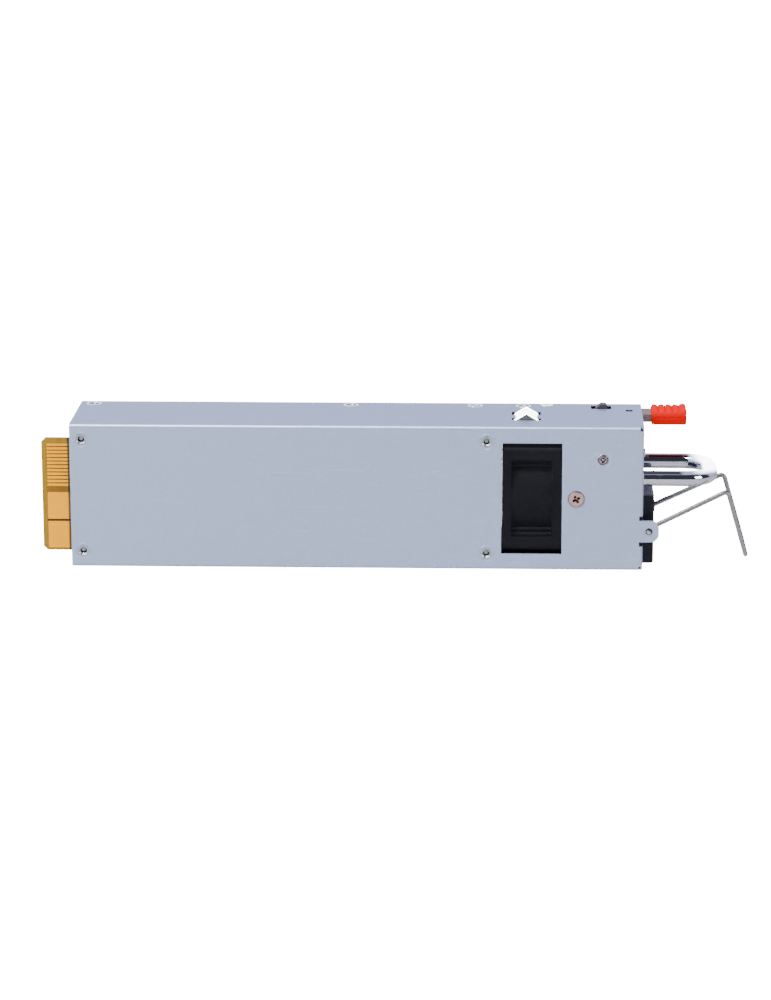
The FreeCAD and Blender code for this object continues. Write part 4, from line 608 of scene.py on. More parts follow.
def make_zinc_sheet():
    """Satin zinc-plated steel: faint bluish mottling, rolling lines and fine scratches, with a
    painted highlight on slanting faces such as the folds, and painted shade in hollows and on cut
    edges.
    """
    material, tree, put, place = start_material("zinc_sheet", Metallic=ZINC_METALLIC)
    cloud = cloudy(tree, place, 26.0)
    grain = use(tree, "grain", place, 1400.0)
    rolled = use(tree, "drawn", stretched(tree, place, (0.03, 1.0, 1.0)), 900.0)
    scratch = use(tree, "scratches", place, 420.0)["Mask"]
    base = blend(tree, cloud, ZINC_COOL, ZINC_WARM)
    speck = grey(tree, between(tree, grain["Tone"], 0.97, 1.03))
    base = blend(tree, 1.0, base, speck, "MULTIPLY")
    base = blend(tree, times(tree, scratch, 0.3), base, ZINC_SCRATCH)
    axes = parts_of(tree, place)
    # darker line along the top wall's far edge, from the hook's end to the front
    far_edge = times(
        tree,
        ramp(tree, axes["Y"], FAR - 1.3, FAR - 0.9),
        ramp(tree, axes["Z"], TOP - 0.5, TOP - 0.3),
        ramp(tree, axes["X"], CATCH_HIGH, CATCH_HIGH + 1, 0.0, 0.85),
    )
    base = blend(tree, far_edge, base, ZINC_FAR_EDGE_DARK)
    # painted highlight on slanting faces, such as the rounded folds along the top
    slant = facing(tree, "Z")
    fold_highlight = times(tree, remap(tree, slant, 0.25, 0.5), remap(tree, slant, 0.85, 0.97, 0.9, 0.0))
    base = blend(tree, fold_highlight, base, ZINC_FOLD_HIGHLIGHT)
    # painted shade on the cut edges of the top wall's openings that face the near side
    shaded_cut_edge = times(
        tree,
        remap(tree, facing(tree, "Y"), -0.7, -0.9),
        ramp(tree, axes["Z"], TOP - 0.02, TOP - 0.12),
        ramp(tree, axes["Z"], TOP - 1.0, TOP - 0.9),
        ramp(tree, axes["Y"], NEAR + 3, NEAR + 4, 0.0, 0.97),
    )
    base = blend(tree, shaded_cut_edge, base, ZINC_SHADE)
    # painted shade in recesses and in what shows through the openings
    open_sky = open_to_light(tree, 3.0, 0.5, 0.85)
    put("Base Color", blend(tree, open_sky, ZINC_SHADE, base))
    rough = between(tree, cloud, ZINC_ROUGH + 0.03, ZINC_ROUGH - 0.03)
    rough = plus(tree, rough, times(tree, grain["Tone"], 0.04))
    put("Roughness", minus(tree, rough, times(tree, scratch, 0.1)))
    height = plus(tree, grain["Height"], rolled["Height"])
    height = minus(tree, height, times(tree, scratch, 0.6))
    put("Normal", bump(tree, height, 0.003))
    return material


def make_chrome():
    """Polished chrome with a trace of polishing swirl and fingerprints, a painted dark reflection
    on the near leg, a painted reflection of the red grip on the far leg and a painted highlight on
    the bend.
    """
    material, tree, put, place = start_material("handle_chrome", Metallic=1.0)
    swirl = cloudy(tree, place, 60.0)
    prints = use(tree, "grain", place, 500.0)
    base = blend(tree, swirl, (0.78, 0.79, 0.87), (0.86, 0.86, 0.93))
    axes = parts_of(tree, place)
    slant = facing(tree, "Z")
    ragged = plus(tree, axes["X"], times(tree, swirl, 0.004))
    # painted dark reflection along the upper side of the near leg
    shaded = times(
        tree,
        ramp(tree, ragged, BEND_START - 2.5, BEND_START - 0.5, 1.0, 0.0),
        remap(tree, slant, 0.66, 0.74),
        ramp(tree, axes["Y"], -1, 1, 0.95, 0.0),
    )
    # painted reflection of the red grip along the top of the far leg
    grip_reflection = times(
        tree,
        ramp(tree, axes["Y"], 0, 1),
        remap(tree, slant, 0.35, 0.6),
        ramp(tree, ragged, BEND_START, BEND_START + 3, 1.0, 0.0),
    )
    base = blend(tree, grip_reflection, base, (0.72, 0.46, 0.47))
    # the same painted reflection of the grip, as a tint of the mirror reflection
    normal = tree.nodes.new("ShaderNodeNewGeometry").outputs["Normal"]
    grip_reflection_tint = times(
        tree,
        ramp(tree, axes["Y"], 0, 1),
        remap(tree, parts_of(tree, normal)["Z"], 0.35, 0.6),
        ramp(tree, axes["X"], BEND_START - 2, BEND_START + 1, 1.0, 0.0),
    )
    put("Specular Tint", blend(tree, grip_reflection_tint, (1.0, 1.0, 1.0), (0.20, 0.12, 0.13)))
    put("Base Color", blend(tree, shaded, base, (0.05, 0.05, 0.065)))
    smear = times(tree, remap(tree, swirl, 0.45, 0.9), prints["Tone"])
    put("Roughness", between(tree, smear, 0.05, 0.13))
    put("Normal", bump(tree, prints["Height"], 0.0015))
    # painted highlight on the bend, which only the camera sees
    bend = ramp(tree, axes["X"], BEND_START, BEND_START + 6, smooth=True)
    near_side = ramp(tree, axes["Y"], -13, -4, 0.42, 0.0)
    upward = remap(tree, minus(tree, slant, near_side), 0.1, 0.8, smooth=True)
    bend_highlight = blend(tree, swirl, (0.88, 0.88, 1.12), (0.98, 0.98, 1.12))
    show_glow(tree, put, bend_highlight, times(tree, bend, upward), CHROME_GLOW)
    return material


WIRE_PALE, WIRE_DARK, WIRE_END_HIGHLIGHT = (0.37, 0.365, 0.375), (0.255, 0.25, 0.26), (0.68, 0.69, 0.73)
WIRE_ROUGH = 0.42
# strength of the painted light on the wire's underside, which only the camera sees
WIRE_GLOW = 0.16


def make_spring_wire():
    """Drawn wire: fine lines along it, a painted highlight on its cut ends, painted shade where it
    turns from the light, on its upper side and in the ear's hole, and painted light on its
    underside and on its legs.
    """
    material, tree, put, place = start_material("spring_wire", Metallic=1.0)
    lines = use(tree, "drawn", stretched(tree, place, (0.08, 1.0, 1.0)), 2600.0)
    cloud = cloudy(tree, place, 90.0)
    tone = mixture(tree, lines["Tone"], cloud, 0.55)
    axes = parts_of(tree, place)
    # painted lighting of a domed end: a highlight on the end face in the ear, and painted shade on
    # its side turned from the light
    on_end = times(
        tree,
        remap(tree, side_on(tree), 0.93, 0.97),
        ramp(tree, axes["X"], PIVOT_X + 1, PIVOT_X + 1.2, 1.0, 0.0),
    )
    slope = plus(tree, axes["X"], times(tree, axes["Z"], 1.3))
    level = PIVOT_X + 1.3 * PIVOT_Z
    turned_away = times(tree, ramp(tree, slope, level - 0.1, level + 0.9, 0.0, 0.9), on_end)
    # painted light: the legs past the knee are lighter
    lit_past_knee = ramp(tree, axes["X"], KNEE_X - 1.5, KNEE_X + 0.5, 0.0, 0.4, smooth=True)
    metal = blend(tree, lit_past_knee, blend(tree, tone, WIRE_DARK, WIRE_PALE), WIRE_PALE)
    # painted shade on the wire's upper side
    upper = facing_up(tree, 0.0, 0.8, 0.0, 0.75)
    metal = blend(tree, upper, metal, scaled(WIRE_DARK, 0.42))
    metal = blend(tree, on_end, metal, WIRE_END_HIGHLIGHT)
    # painted light on the wire's underside
    show_glow(tree, put, (0.95, 0.95, 1.0), facing_up(tree, 0.1, -0.6), WIRE_GLOW)
    shade = scaled(WIRE_DARK, 0.08)
    base = blend(tree, turned_away, metal, shade)
    # painted shade where the ear's hole closes round the wire
    put("Base Color", blend(tree, open_to_light(tree, 1.0, 0.5, 0.9), shade, base))
    put("Specular Tint", (0.35, 0.35, 0.36))
    put("Roughness", between(tree, tone, WIRE_ROUGH * 1.2, WIRE_ROUGH * 0.8))
    put("Normal", bump(tree, lines["Height"], 0.015))
    return material


def wall_shadow(tree, along):
    """Shadow on the board just outside the case's rear wall."""
    return ramp(tree, along, BACK - 1.75, BACK - 1.25, 0.0, 0.95)


def make_laminate():
    """Amber glass-epoxy board: woven glass under the lacquer, paler cut edges, painted shade
    between the fingers and a painted shadow by the rear wall.
    """
    material, tree, put, place = start_material("board_laminate", Specular_IOR_Level=0.12)
    axes = parts_of(tree, place)
    along, up = axes["X"], axes["Z"]
    weave = times(tree, *(sums(tree, "SINE", times(tree, axis, 5200.0)) for axis in (along, up)))
    cloud = cloudy(tree, place, 70.0)
    tone = plus(tree, times(tree, weave, 0.18), cloud)
    face = blend(tree, tone, (0.29, 0.160, 0.014), (0.37, 0.205, 0.020))
    tongue = ramp(tree, along, BACK - 1.0, BACK, 1.0, 0.0)
    inside = ramp(tree, along, CONTACT_TIP - 0.6, CONTACT_TIP)
    pads_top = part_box("power_contacts")[1][2] / MM
    fingers_low, fingers_high = (corner[2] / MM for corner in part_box("signal_contacts"))
    above_pads = ramp(tree, up, pads_top, pads_top + 0.3)
    below_fingers = ramp(tree, up, fingers_low - 0.3, fingers_low, 1.0, 0.0)
    bare_band = times(tree, above_pads, below_fingers, inside, tongue, 0.75)
    face = blend(tree, bare_band, face, (0.20, 0.095, 0.012))
    pads = sorted(solids_of("power_contacts"), key=lambda box: box[0].z)
    slit_low, slit_high = pads[0][1].z, pads[-1][0].z
    split = times(
        tree,
        ramp(tree, up, slit_low, slit_low + 0.1),
        ramp(tree, up, slit_high - 0.1, slit_high, 1.0, 0.0),
        inside,
    )
    face = blend(tree, split, face, (0.07, 0.028, 0.012))
    # painted shade between the fingers, deepening towards the rear wall
    shade_among_fingers = times(
        tree,
        ramp(tree, up, fingers_low, fingers_low + 0.1),
        ramp(tree, up, fingers_high, fingers_high + 0.1, 1.0, 0.0),
        ramp(tree, along, CONTACT_TIP, BACK, 0.45, 1.0),
        inside,
        tongue,
    )
    face = blend(tree, shade_among_fingers, face, (0.085, 0.052, 0.014))
    body = blend(tree, remap(tree, side_on(tree), 0.5, 0.8), (0.52, 0.36, 0.06), face)
    put("Base Color", blend(tree, wall_shadow(tree, along), body, (0.035, 0.022, 0.012)))
    put("Roughness", between(tree, cloud, 0.46, 0.38))
    put("Normal", bump(tree, weave, 0.006))
    return material


def make_gold():
    """Gold-plated lands, wiped lengthwise by the connector."""
    material, tree, put, place = start_material(
        "gold_contact", Metallic=0.6, Specular_IOR_Level=0.2
    )
    cloud = cloudy(tree, place, 160.0)
    wiped = use(tree, "drawn", stretched(tree, place, (0.04, 1.0, 1.0)), 2600.0)
    tone = mixture(tree, cloud, wiped["Tone"], 0.6)
    colour = blend(tree, tone, (0.92, 0.365, 0.003), (1.0, 0.425, 0.005))
    near_wall = wall_shadow(tree, parts_of(tree, place)["X"])
    colour = blend(tree, near_wall, colour, (0.05, 0.03, 0.012))
    put("Base Color", colour)
    # painted glow that only the camera sees, brightening the gold
    put("Emission Color", colour)
    put("Emission Strength", camera_only(tree, GOLD_GLOW))
    put("Roughness", between(tree, tone, 0.42, 0.34))
    put("Normal", bump(tree, wiped["Height"], 0.004))
    return material


def make_copper_screw():
    """Copper-toned plated screw, with painted shade on its rim and in its recess."""
    material, tree, put, place = start_material("copper_screw", Metallic=1.0)
    cloud = cloudy(tree, place, 150.0)
    grain = use(tree, "grain", place, 900.0)
    crown = blend(tree, cloud, (0.66, 0.45, 0.40), (0.80, 0.565, 0.50))
    # painted shade on the rim, where the head faces sideways
    flat = remap(tree, side_on(tree), 0.8, 0.97)
    crown = blend(tree, flat, (0.20, 0.10, 0.08), crown)
    # painted shade in the recess
    open_sky = open_to_light(tree, 1.0, 0.4, 0.9)
    put("Base Color", blend(tree, open_sky, (0.03, 0.01, 0.008), crown))
    put("Roughness", between(tree, grain["Tone"], 0.46, 0.36))
    put("Normal", bump(tree, grain["Height"], 0.01))
    return material


def make_clip_plate():
    """Bright tin plate: a painted highlight where its roof faces up, and painted shade on its other
    faces, beside its slits and in its hollows.
    """
    material, tree, put, place = start_material("clip_plate", Metallic=0.7)
    cloud = cloudy(tree, place, 120.0)
    grain = use(tree, "grain", place, 1200.0)
    low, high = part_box("ground_clip")
    from_middle = away_from(tree, parts_of(tree, place)["Y"], (low[1] + high[1]) / 2)
    from_slit = away_from(tree, from_middle, (high[1] - low[1]) / 6)
    # painted highlight where the roof faces up; painted shade elsewhere, beside the slits and in
    # hollows
    lit = times(
        tree,
        facing_up(tree, 0.3, 0.7),
        open_to_light(tree, 1.0, 0.7, 0.97),
        ramp(tree, from_slit, 0.5, 0.95, 0.2, 1.0),
    )
    tin = blend(tree, cloud, (0.90, 0.91, 0.93), (0.96, 0.97, 0.98))
    put("Base Color", blend(tree, lit, (0.165, 0.18, 0.175), tin))
    show_glow(tree, put, tin, lit, CLIP_GLOW)
    put("Roughness", between(tree, grain["Tone"], 0.34, 0.26))
    put("Normal", bump(tree, grain["Height"], 0.004))
    return material


def make_latch_strip():
    """Bare spring-steel strip: warm grey, coarser on its sheared flange, with painted shade on the
    flange and on the hook.
    """
    material, tree, put, place = start_material("latch_strip", Metallic=0.8)
    lines = use(tree, "drawn", stretched(tree, place, (0.06, 1.0, 1.0)), 2400.0)
    grain = use(tree, "grain", place, 1600.0)
    cloud = cloudy(tree, place, 140.0)
    tone = mixture(tree, lines["Tone"], cloud, 0.5)
    top = blend(tree, tone, (0.40, 0.265, 0.175), (0.53, 0.345, 0.23))
    # painted shade on the flange, which faces sideways
    flange = blend(tree, grain["Tone"], (0.17, 0.123, 0.112), (0.30, 0.22, 0.20))
    sideways = remap(tree, side_on(tree), 0.4, 0.8)
    along = parts_of(tree, place)["X"]
    # painted shade on the hook
    past_start = ramp(tree, along, CATCH_LOW - 1, CATCH_LOW)
    before_end = ramp(tree, along, CATCH_HIGH, CATCH_HIGH + 1, 1.0, 0.0)
    hook = times(tree, past_start, before_end, 0.8)
    put("Base Color", blend(tree, hook, blend(tree, sideways, top, flange), (0.06, 0.055, 0.05)))
    put("Roughness", between(tree, tone, 0.44, 0.34))
    height = plus(tree, lines["Height"], times(tree, grain["Height"], sideways))
    put("Normal", bump(tree, height, 0.02))
    return material


# scale of the grip's painted light
GRIP_GLOW = 3.0  # more than its brightest spot


def make_red_grip():
    """Orange-red moulded grip: satin, with painted light that only the camera sees, strongest
    towards its top and on its upward-facing crests, and a painted dark red for all other rays.
    """
    material, tree, put, place = start_material("red_grip", Specular_IOR_Level=0.008)
    cloud = cloudy(tree, place, 60.0)
    height = use(tree, "spark", place, 900.0)["Height"]
    face = blend(tree, cloud, (0.34, 0.0002, 0.0006), (0.40, 0.0003, 0.0008))
    # painted shade: every ray but the camera's sees a dark red, so the grip's reflections are dark
    colour = blend(tree, viewer(tree), (0.09, 0.014, 0.016), face)
    low, high = (corner[2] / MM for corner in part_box("latch_grip"))
    up = parts_of(tree, place)["Z"]
    # painted light seen only by the camera: brighter towards the top, on upward faces and a little
    # near the foot
    height_glow = ramp(tree, up, low + 2.2, high, 0.68, 2.1)
    crest_glow = facing_up(tree, 0.0, 1.0, 0.0, 0.45)
    foot_glow = ramp(tree, up, low + 0.3, low + 1.8, 0.3, 0.0)
    glow = plus(tree, height_glow, plus(tree, crest_glow, foot_glow))
    put("Base Color", colour)
    show_glow(tree, put, colour, times(tree, glow, 1 / GRIP_GLOW), GRIP_GLOW)
    put("Roughness", remap(tree, height, 0.2, 0.8, 0.42, 0.55))
    put("Normal", bump(tree, height, 0.0006))
    return material


# black plastic on its sides, and on its upward faces, which get their own tone: painted light on
# the inlet's tops, darker on the fan's
BLACK_PALE, BLACK_DEEP = (0.0075, 0.0075, 0.0115), (0.005, 0.005, 0.008)
TOP_TONE_PALE, TOP_TONE_DEEP = (0.026, 0.026, 0.033), (0.02, 0.02, 0.026)


def black_moulding(name, lift, shine, base_scale, top_scale):
    """Black glass-filled plastic; upward faces take their own tone, painted light on the inlet, and
    hollows get painted light that only the camera sees.
    """
    material, tree, put, place = start_material(name, Specular_IOR_Level=shine)
    cloud = cloudy(tree, place, 75.0)
    base = blend(tree, cloud, scaled(BLACK_DEEP, base_scale), scaled(BLACK_PALE, base_scale))
    # tone of the upward faces: painted light on the inlet, darker on the fan
    top_tone = blend(tree, cloud, scaled(TOP_TONE_DEEP, top_scale), scaled(TOP_TONE_PALE, top_scale))
    upward = facing_up(tree, 0.3, 0.8)
    put("Base Color", blend(tree, upward, base, top_tone))
    height = use(tree, "spark", place, 1500.0)["Height"]
    put("Roughness", remap(tree, height, 0.2, 0.8, 0.38, 0.52))
    put("Normal", bump(tree, height, 0.012))
    # painted light in the hollows, seen only by the camera
    shut = between(tree, open_to_light(tree, 14.0, 0.0, 1.0), 1.0, 0.0)
    hollow_fill = blend(tree, cloud, (0.8, 0.8, 1.1), (1.0, 1.0, 1.35))
    show_glow(tree, put, hollow_fill, shut, lift)
    return material


def make_insulator():
    """Milky polyester film."""
    material, tree, put, place = start_material("insulator", Alpha=0.82)
    cloud = cloudy(tree, place, 50.0)
    put("Base Color", blend(tree, cloud, (0.66, 0.67, 0.64), (0.76, 0.76, 0.73)))
    put("Roughness", between(tree, cloud, 0.36, 0.26))
    put("Normal", bump(tree, cloud, 0.05))
    return material


def make_light_guide():
    """Clear moulded rod that carries the status light."""
    material, tree, put, place = start_material("light_guide", IOR=1.49, Transmission_Weight=0.85)
    cloud = cloudy(tree, place, 400.0)
    put("Base Color", blend(tree, cloud, (0.80, 0.86, 0.82), (0.9, 0.94, 0.9)))
    put("Roughness", between(tree, cloud, 0.12, 0.2))
    put("Normal", bump(tree, cloud, 0.01))
    return material


# pale tone, dark tone, roughness, then any hollow, as the reach of its walls and the colour of its
# painted shade, and the strength of a painted glint on top
PLATED = {
    "zinc_screw": ((0.86, 0.87, 0.92), (0.68, 0.70, 0.76), 0.22, (1.5, (0.025, 0.024, 0.027)), 2.2),
    "stud_metal": ((0.55, 0.475, 0.54), (0.33, 0.28, 0.33), 0.26, (0.8, (0.05, 0.028, 0.04))),
    "spacer_metal": ((0.66, 0.72, 0.80), (0.50, 0.56, 0.64), 0.26, (1.5, (0.022, 0.028, 0.033))),
    "bright_steel": ((0.84, 0.84, 0.86), (0.66, 0.66, 0.69), 0.2),
    "copper_wire": ((0.66, 0.27, 0.10), (0.48, 0.17, 0.06), 0.3),
    "sink_aluminium": ((0.75, 0.76, 0.78), (0.6, 0.61, 0.63), 0.35),
}
# pale tone, deep tone, roughness
MOULDED = {
    "ferrite": ((0.05, 0.05, 0.052), (0.025, 0.025, 0.027), 0.6),
    "capacitor_sleeve": ((0.025, 0.035, 0.06), (0.015, 0.02, 0.04), 0.3),
    "film_case": ((0.55, 0.36, 0.06), (0.45, 0.28, 0.04), 0.35),
    "disc_coating": ((0.06, 0.16, 0.42), (0.04, 0.11, 0.32), 0.28),
    "fuse_body": ((0.5, 0.47, 0.4), (0.4, 0.37, 0.3), 0.4),
}
# pale tone and deep tone of each lead's insulation
LEADS = {
    "lead_brown": ((0.16, 0.06, 0.025), (0.11, 0.04, 0.02)),
    "lead_blue": ((0.03, 0.12, 0.45), (0.02, 0.08, 0.36)),
    "lead_green": ((0.05, 0.30, 0.08), (0.03, 0.22, 0.05)),
    "lead_black": ((0.02, 0.02, 0.022), (0.012, 0.012, 0.014)),
}
MATERIALS = {
    "zinc_sheet": make_zinc_sheet(),
    "copper_screw": make_copper_screw(),
    "board_laminate": make_laminate(),
    "gold_contact": make_gold(),
    "insulator": make_insulator(),
    "black_plastic": moulded_plastic(
        "black_plastic", BLACK_PALE, BLACK_DEEP, 0.45, Specular_IOR_Level=0.2
    ),
    "fan_plastic": black_moulding(
        "fan_plastic", lift=0.009, shine=0.14, base_scale=0.85, top_scale=0.15
    ),
    "inlet_plastic": black_moulding(
        "inlet_plastic", lift=0.0, shine=0.2, base_scale=1.9, top_scale=6.6
    ),
    "handle_chrome": make_chrome(),
    "spring_wire": make_spring_wire(),
    "clip_plate": make_clip_plate(),
    "latch_strip": make_latch_strip(),
    "red_grip": make_red_grip(),
    "light_guide": make_light_guide(),
}
for name, look in PLATED.items():
    MATERIALS[name] = plated_metal(name, *look)
for name, look in MOULDED.items():
    MATERIALS[name] = moulded_plastic(name, *look)
for name, look in LEADS.items():
    MATERIALS[name] = moulded_plastic(name, *look, 0.42, scale=1100, bump_depth=0.015)

# kept nodes whose finish isn't that of their slot
OWN_FINISH = {
    "latch_arm": "latch_strip",
    "fan_frame": "fan_plastic",
    "inlet_body": "inlet_plastic",
}


def dress_nodes():
    """Gives every kept node the finish of its slot, smooth where it is round."""
    for subpart in frame["record"]["subparts"]:
        node = NODES[subpart["node"]]
        node.data.materials.clear()
        finish = OWN_FINISH.get(subpart["node"], subpart["material_slot"])
        node.data.materials.append(MATERIALS[finish])
        node.data.shade_smooth()
        node.data.set_sharp_from_angle(angle=math.radians(30))


dress_nodes()


# ---------------------------------------------------------------- fasteners


SHANK = 1.5  # radius


def screw_shank(length):
    """Profile of a threaded shank below a head, from its tip up."""
    return [(0, -length), (SHANK * 0.7, -length), (SHANK, -length + SHANK * 0.4)]


def make_cover_screws():
    """Countersunk screws set flush in the narrow walls."""
    bm = bmesh.new()
    for index, (low, high) in enumerate(solids_of("cover_screws")):
        middle = (low + high) / 2
        on_top = high.z > TOP / 2
        at = (middle.x, middle.y, TOP if on_top else 0)
        matrix = seat(at, "+z" if on_top else "-z")
        radius = (high.x - low.x) / 2
        profile = screw_shank(high.z - low.z) + [
            (SHANK, -1.55), (radius - 0.12, -0.14), (radius, -0.08), (radius - 0.06, -0.01),
            (radius - 0.55, 0.0), (radius - 0.68, -0.05), (radius - 0.76, -0.2),
        ]
        rings = lathe(bm, matrix, profile)
        cross_recess(bm, matrix, rings[-1], -0.2, 1.6, 0.75, depth=1.1, turn=0.7 * index)
    piece = finish_piece("cover_screw_set", bm, "case", "zinc_screw")
    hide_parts("cover_screws")


def make_bracket_screw():
    """Wafer-head screw with a cross recess on the near wall."""
    bm = bmesh.new()
    low, high = solids_of("bracket_screw")[0]
    matrix, radius = near_seat(low, high)
    rise = NEAR - low.y
    profile = screw_shank(high.y - NEAR) + [
        (SHANK, 0.0), (radius - 0.1, 0.0), (radius, 0.1), (radius, rise - 0.32),
        (radius - 0.16, rise - 0.12), (radius - 0.42, rise - 0.02), (radius - 0.7, rise),
    ]
    rings = lathe(bm, matrix, profile, 64)
    cross_recess(bm, matrix, rings[-1], rise, 1.5, 0.95, depth=1.3, turn=math.radians(28))
    piece = finish_piece("bracket_screw_head", bm, "case", "copper_screw", sharp=30)
    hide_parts("bracket_screw")


def make_ground_stud():
    """Dished head of the earth stud in the near wall, with its shank inside."""
    bm = bmesh.new()
    low, high = solids_of("ground_stud")[0]
    matrix, radius = near_seat(low, high)
    rise = NEAR - low.y
    profile = screw_shank(high.y - NEAR) + [
        (SHANK, -SHEET_GAUGE), (radius, -SHEET_GAUGE), (radius, rise - 0.3),
        (radius - 0.06, rise - 0.18), (radius - 0.2, rise - 0.1), (radius - 0.38, rise - 0.3),
        (radius - 0.5, rise - 0.3), (1.42, rise - 0.04), (1.3, rise), (1.12, rise),
        (1.02, rise - 0.06), (0.86, rise - 0.75), (0.48, rise - 0.75), (0.42, rise - 0.3),
        (0.3, rise - 0.22), (0, rise - 0.2),
    ]
    lathe(bm, matrix, profile)
    piece = finish_piece("earth_stud_head", bm, "case", "zinc_screw", "stud_metal")
    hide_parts("ground_stud")


BORE, CREST, PITCH = 1.3, 1.1, 0.5


def make_standoffs():
    """Pressed-in threaded spacers that hold the board."""
    bm = bmesh.new()
    for low, high in solids_of("board_standoffs"):
        matrix, radius = near_seat(low, high)
        length = high.y - NEAR
        profile = [
            (BORE, -length), (radius - 0.15, -length), (radius, -length + 0.15), (radius, -0.1),
            (radius - 0.04, -0.02), (radius - 0.14, 0.0), (radius - 0.5, 0.0),
            (radius - 0.6, -0.02), (1.42, -0.16), (BORE, -0.32), (BORE, -length),
        ]
        lathe(bm, matrix, profile)
        thread(bm, matrix, BORE, CREST, PITCH, -length + 0.1, -0.34)
    piece = finish_piece("threaded_spacers", bm, "case", "zinc_screw", "spacer_metal", join=False)
    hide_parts("board_standoffs")


BOARD_SCREW_TIP = 5.4


def make_board_screws():
    """Pan-head screws that hold the board on its spacers, from inside."""
    bm = bmesh.new()
    for low, high in solids_of("board_screws"):
        middle = (low + high) / 2
        radius = (high.x - low.x) / 2
        head = high.y - BOARD_FAR
        matrix = seat((middle.x, BOARD_FAR, middle.z), "+y")
        profile = [
            (0, -BOARD_SCREW_TIP), (0.75, -BOARD_SCREW_TIP), (0.98, -BOARD_SCREW_TIP + 0.2),
            (0.98, 0.0), (radius, 0.0), (radius, head * 0.45), (radius * 0.86, head * 0.85),
            (radius * 0.6, head),
        ]
        rings = lathe(bm, matrix, profile, 32)
        reach, depth = radius * 0.55, head * 0.6
        cross_recess(bm, matrix, rings[-1], head, reach, 0.5, depth, turn=0.4)
    piece = finish_piece("board_screw_set", bm, "case", "zinc_screw")
    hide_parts("board_screws")


def make_latch_rivet():
    """Semi-tubular rivet through the top wall, rolled over at its foot."""
    bm = bmesh.new()
    low, high = solids_of("latch_rivet")[0]
    at = ((low.x + high.x) / 2, (low.y + high.y) / 2, TOP)
    radius = (high.x - low.x) / 2
    rise = high.z - TOP
    foot = TOP - low.z
    profile = [
        (0, -foot + 0.3), (0.8, -foot + 0.3), (1.1, -foot), (1.9, -foot + 0.05),
        (2.3, -foot + 0.35), (2.2, -foot + 0.6), (1.5, -foot + 0.8), (1.5, 0.0), (radius, 0.0),
        (radius, rise * 0.35), (radius - 0.12, rise * 0.75), (radius - 0.4, rise),
        (radius - 0.9, rise), (1.45, rise - 0.08), (1.15, rise - 0.4), (0.8, rise - 0.62),
        (0, rise - 0.65),
    ]
    lathe(bm, seat(at, "+z"), profile)
    piece = finish_piece("spring_rivet", bm, "case", "zinc_screw")
    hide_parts("latch_rivet")


def ribbon(bm, rings):
    """Faces between neighbouring rings, with both ends closed."""
    for lower, upper in zip(rings, rings[1:]):
        bridge(bm, lower, upper)
    bm.faces.new(list(reversed(rings[0])))
    bm.faces.new(rings[-1])


def arc(centre, radius, start, end, steps=6):
    """Points along an arc between two angles in degrees."""
    points = []
    for step in range(steps + 1):
        angle = math.radians(start + (end - start) * step / steps)
        points.append((centre[0] + radius * math.cos(angle), centre[1] + radius * math.sin(angle)))
    return points


GRIP_TEETH = 5
GRIP_STEPS = 14
GRIP_FOOT, GRIP_CROWN = 0.5, 1.5  # radii of its long edges
GRIP_ENDS = ((0.0, 0.55), (0.06, 0.34), (0.18, 0.16), (0.36, 0.05), (0.6, 0.0))  # along, inset
SCALLOP_DEPTH, SCALLOP_WIDTH, LAST_WIDTH = 1.45, 0.86, 0.55
TALLEST_BY = 0.32
CREASE_HEIGHT, CREASE_DEPTH, CREASE_WIDTH = 2.6, 0.16, 0.3
CREASE_OFFSETS = (-0.75, -0.45, -0.22, -0.08, 0.0, 0.08, 0.22, 0.45, 0.75)
CREASE_MARGIN, CREASE_FADE = 1.1, 0.6


def grip_section(near, far, low, high, crease):
    """A rounded section of the grip in (y, z), with a crease in its near face."""
    points = arc((near + GRIP_FOOT, low + GRIP_FOOT), GRIP_FOOT, 270, 180)
    for offset in CREASE_OFFSETS:
        depth = crease * math.exp(-((offset / CREASE_WIDTH) ** 2))
        points.append((near + depth, low + CREASE_HEIGHT + offset))
    points += arc((near + GRIP_CROWN, high - GRIP_CROWN), GRIP_CROWN, 180, 90)
    points += arc((far - GRIP_CROWN, high - GRIP_CROWN), GRIP_CROWN, 90, 0)
    points += arc((far - GRIP_FOOT, low + GRIP_FOOT), GRIP_FOOT, 0, -90)
    return points


def make_grip():
    """Moulded finger grip: five scalloped ridges, the outermost tallest and squarest."""
    low, high = box_mm("latch_grip")
    length = high.x - low.x
    pitch = length / GRIP_TEETH
    last = GRIP_TEETH - 1
    stations = list(GRIP_ENDS)
    count = GRIP_TEETH * GRIP_STEPS
    clear = GRIP_ENDS[-1][0] + 0.02
    for index in range(1, count):
        along = length * index / count
        if clear < along < length - clear:
            stations.append((along, 0.0))
    stations += [(length - depth, inset) for depth, inset in reversed(GRIP_ENDS)]
    bm = bmesh.new()
    rings = []
    for along, inset in stations:
        tooth = min(int(along / pitch), last)
        offset = (along / pitch - tooth) * 2 - 1
        if tooth == last and offset > 0:
            offset *= LAST_WIDTH
        arch = 1 - math.sqrt(max(1 - (SCALLOP_WIDTH * offset) ** 2, 0))
        drop = 0.0 if tooth == last else TALLEST_BY
        top = high.z - drop - arch * SCALLOP_DEPTH
        fade = min(along - CREASE_MARGIN, length - CREASE_MARGIN - along)
        crease = CREASE_DEPTH * max(0.0, min(1.0, fade / CREASE_FADE))
        section = grip_section(low.y + inset, high.y - inset, low.z + inset, top - inset, crease)
        rings.append(add_points(bm, Matrix(), [(low.x + along, y, z) for y, z in section]))
    ribbon(bm, rings)
    piece = finish_piece("finger_grip", bm, "latch", "red_grip", sharp=75)
    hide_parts("latch_grip")


def rectangle(x_low, x_high, y_low, y_high, z):
    """Corners of a level rectangle, in order round it."""
    return [(x_low, y_low, z), (x_high, y_low, z), (x_high, y_high, z), (x_low, y_high, z)]


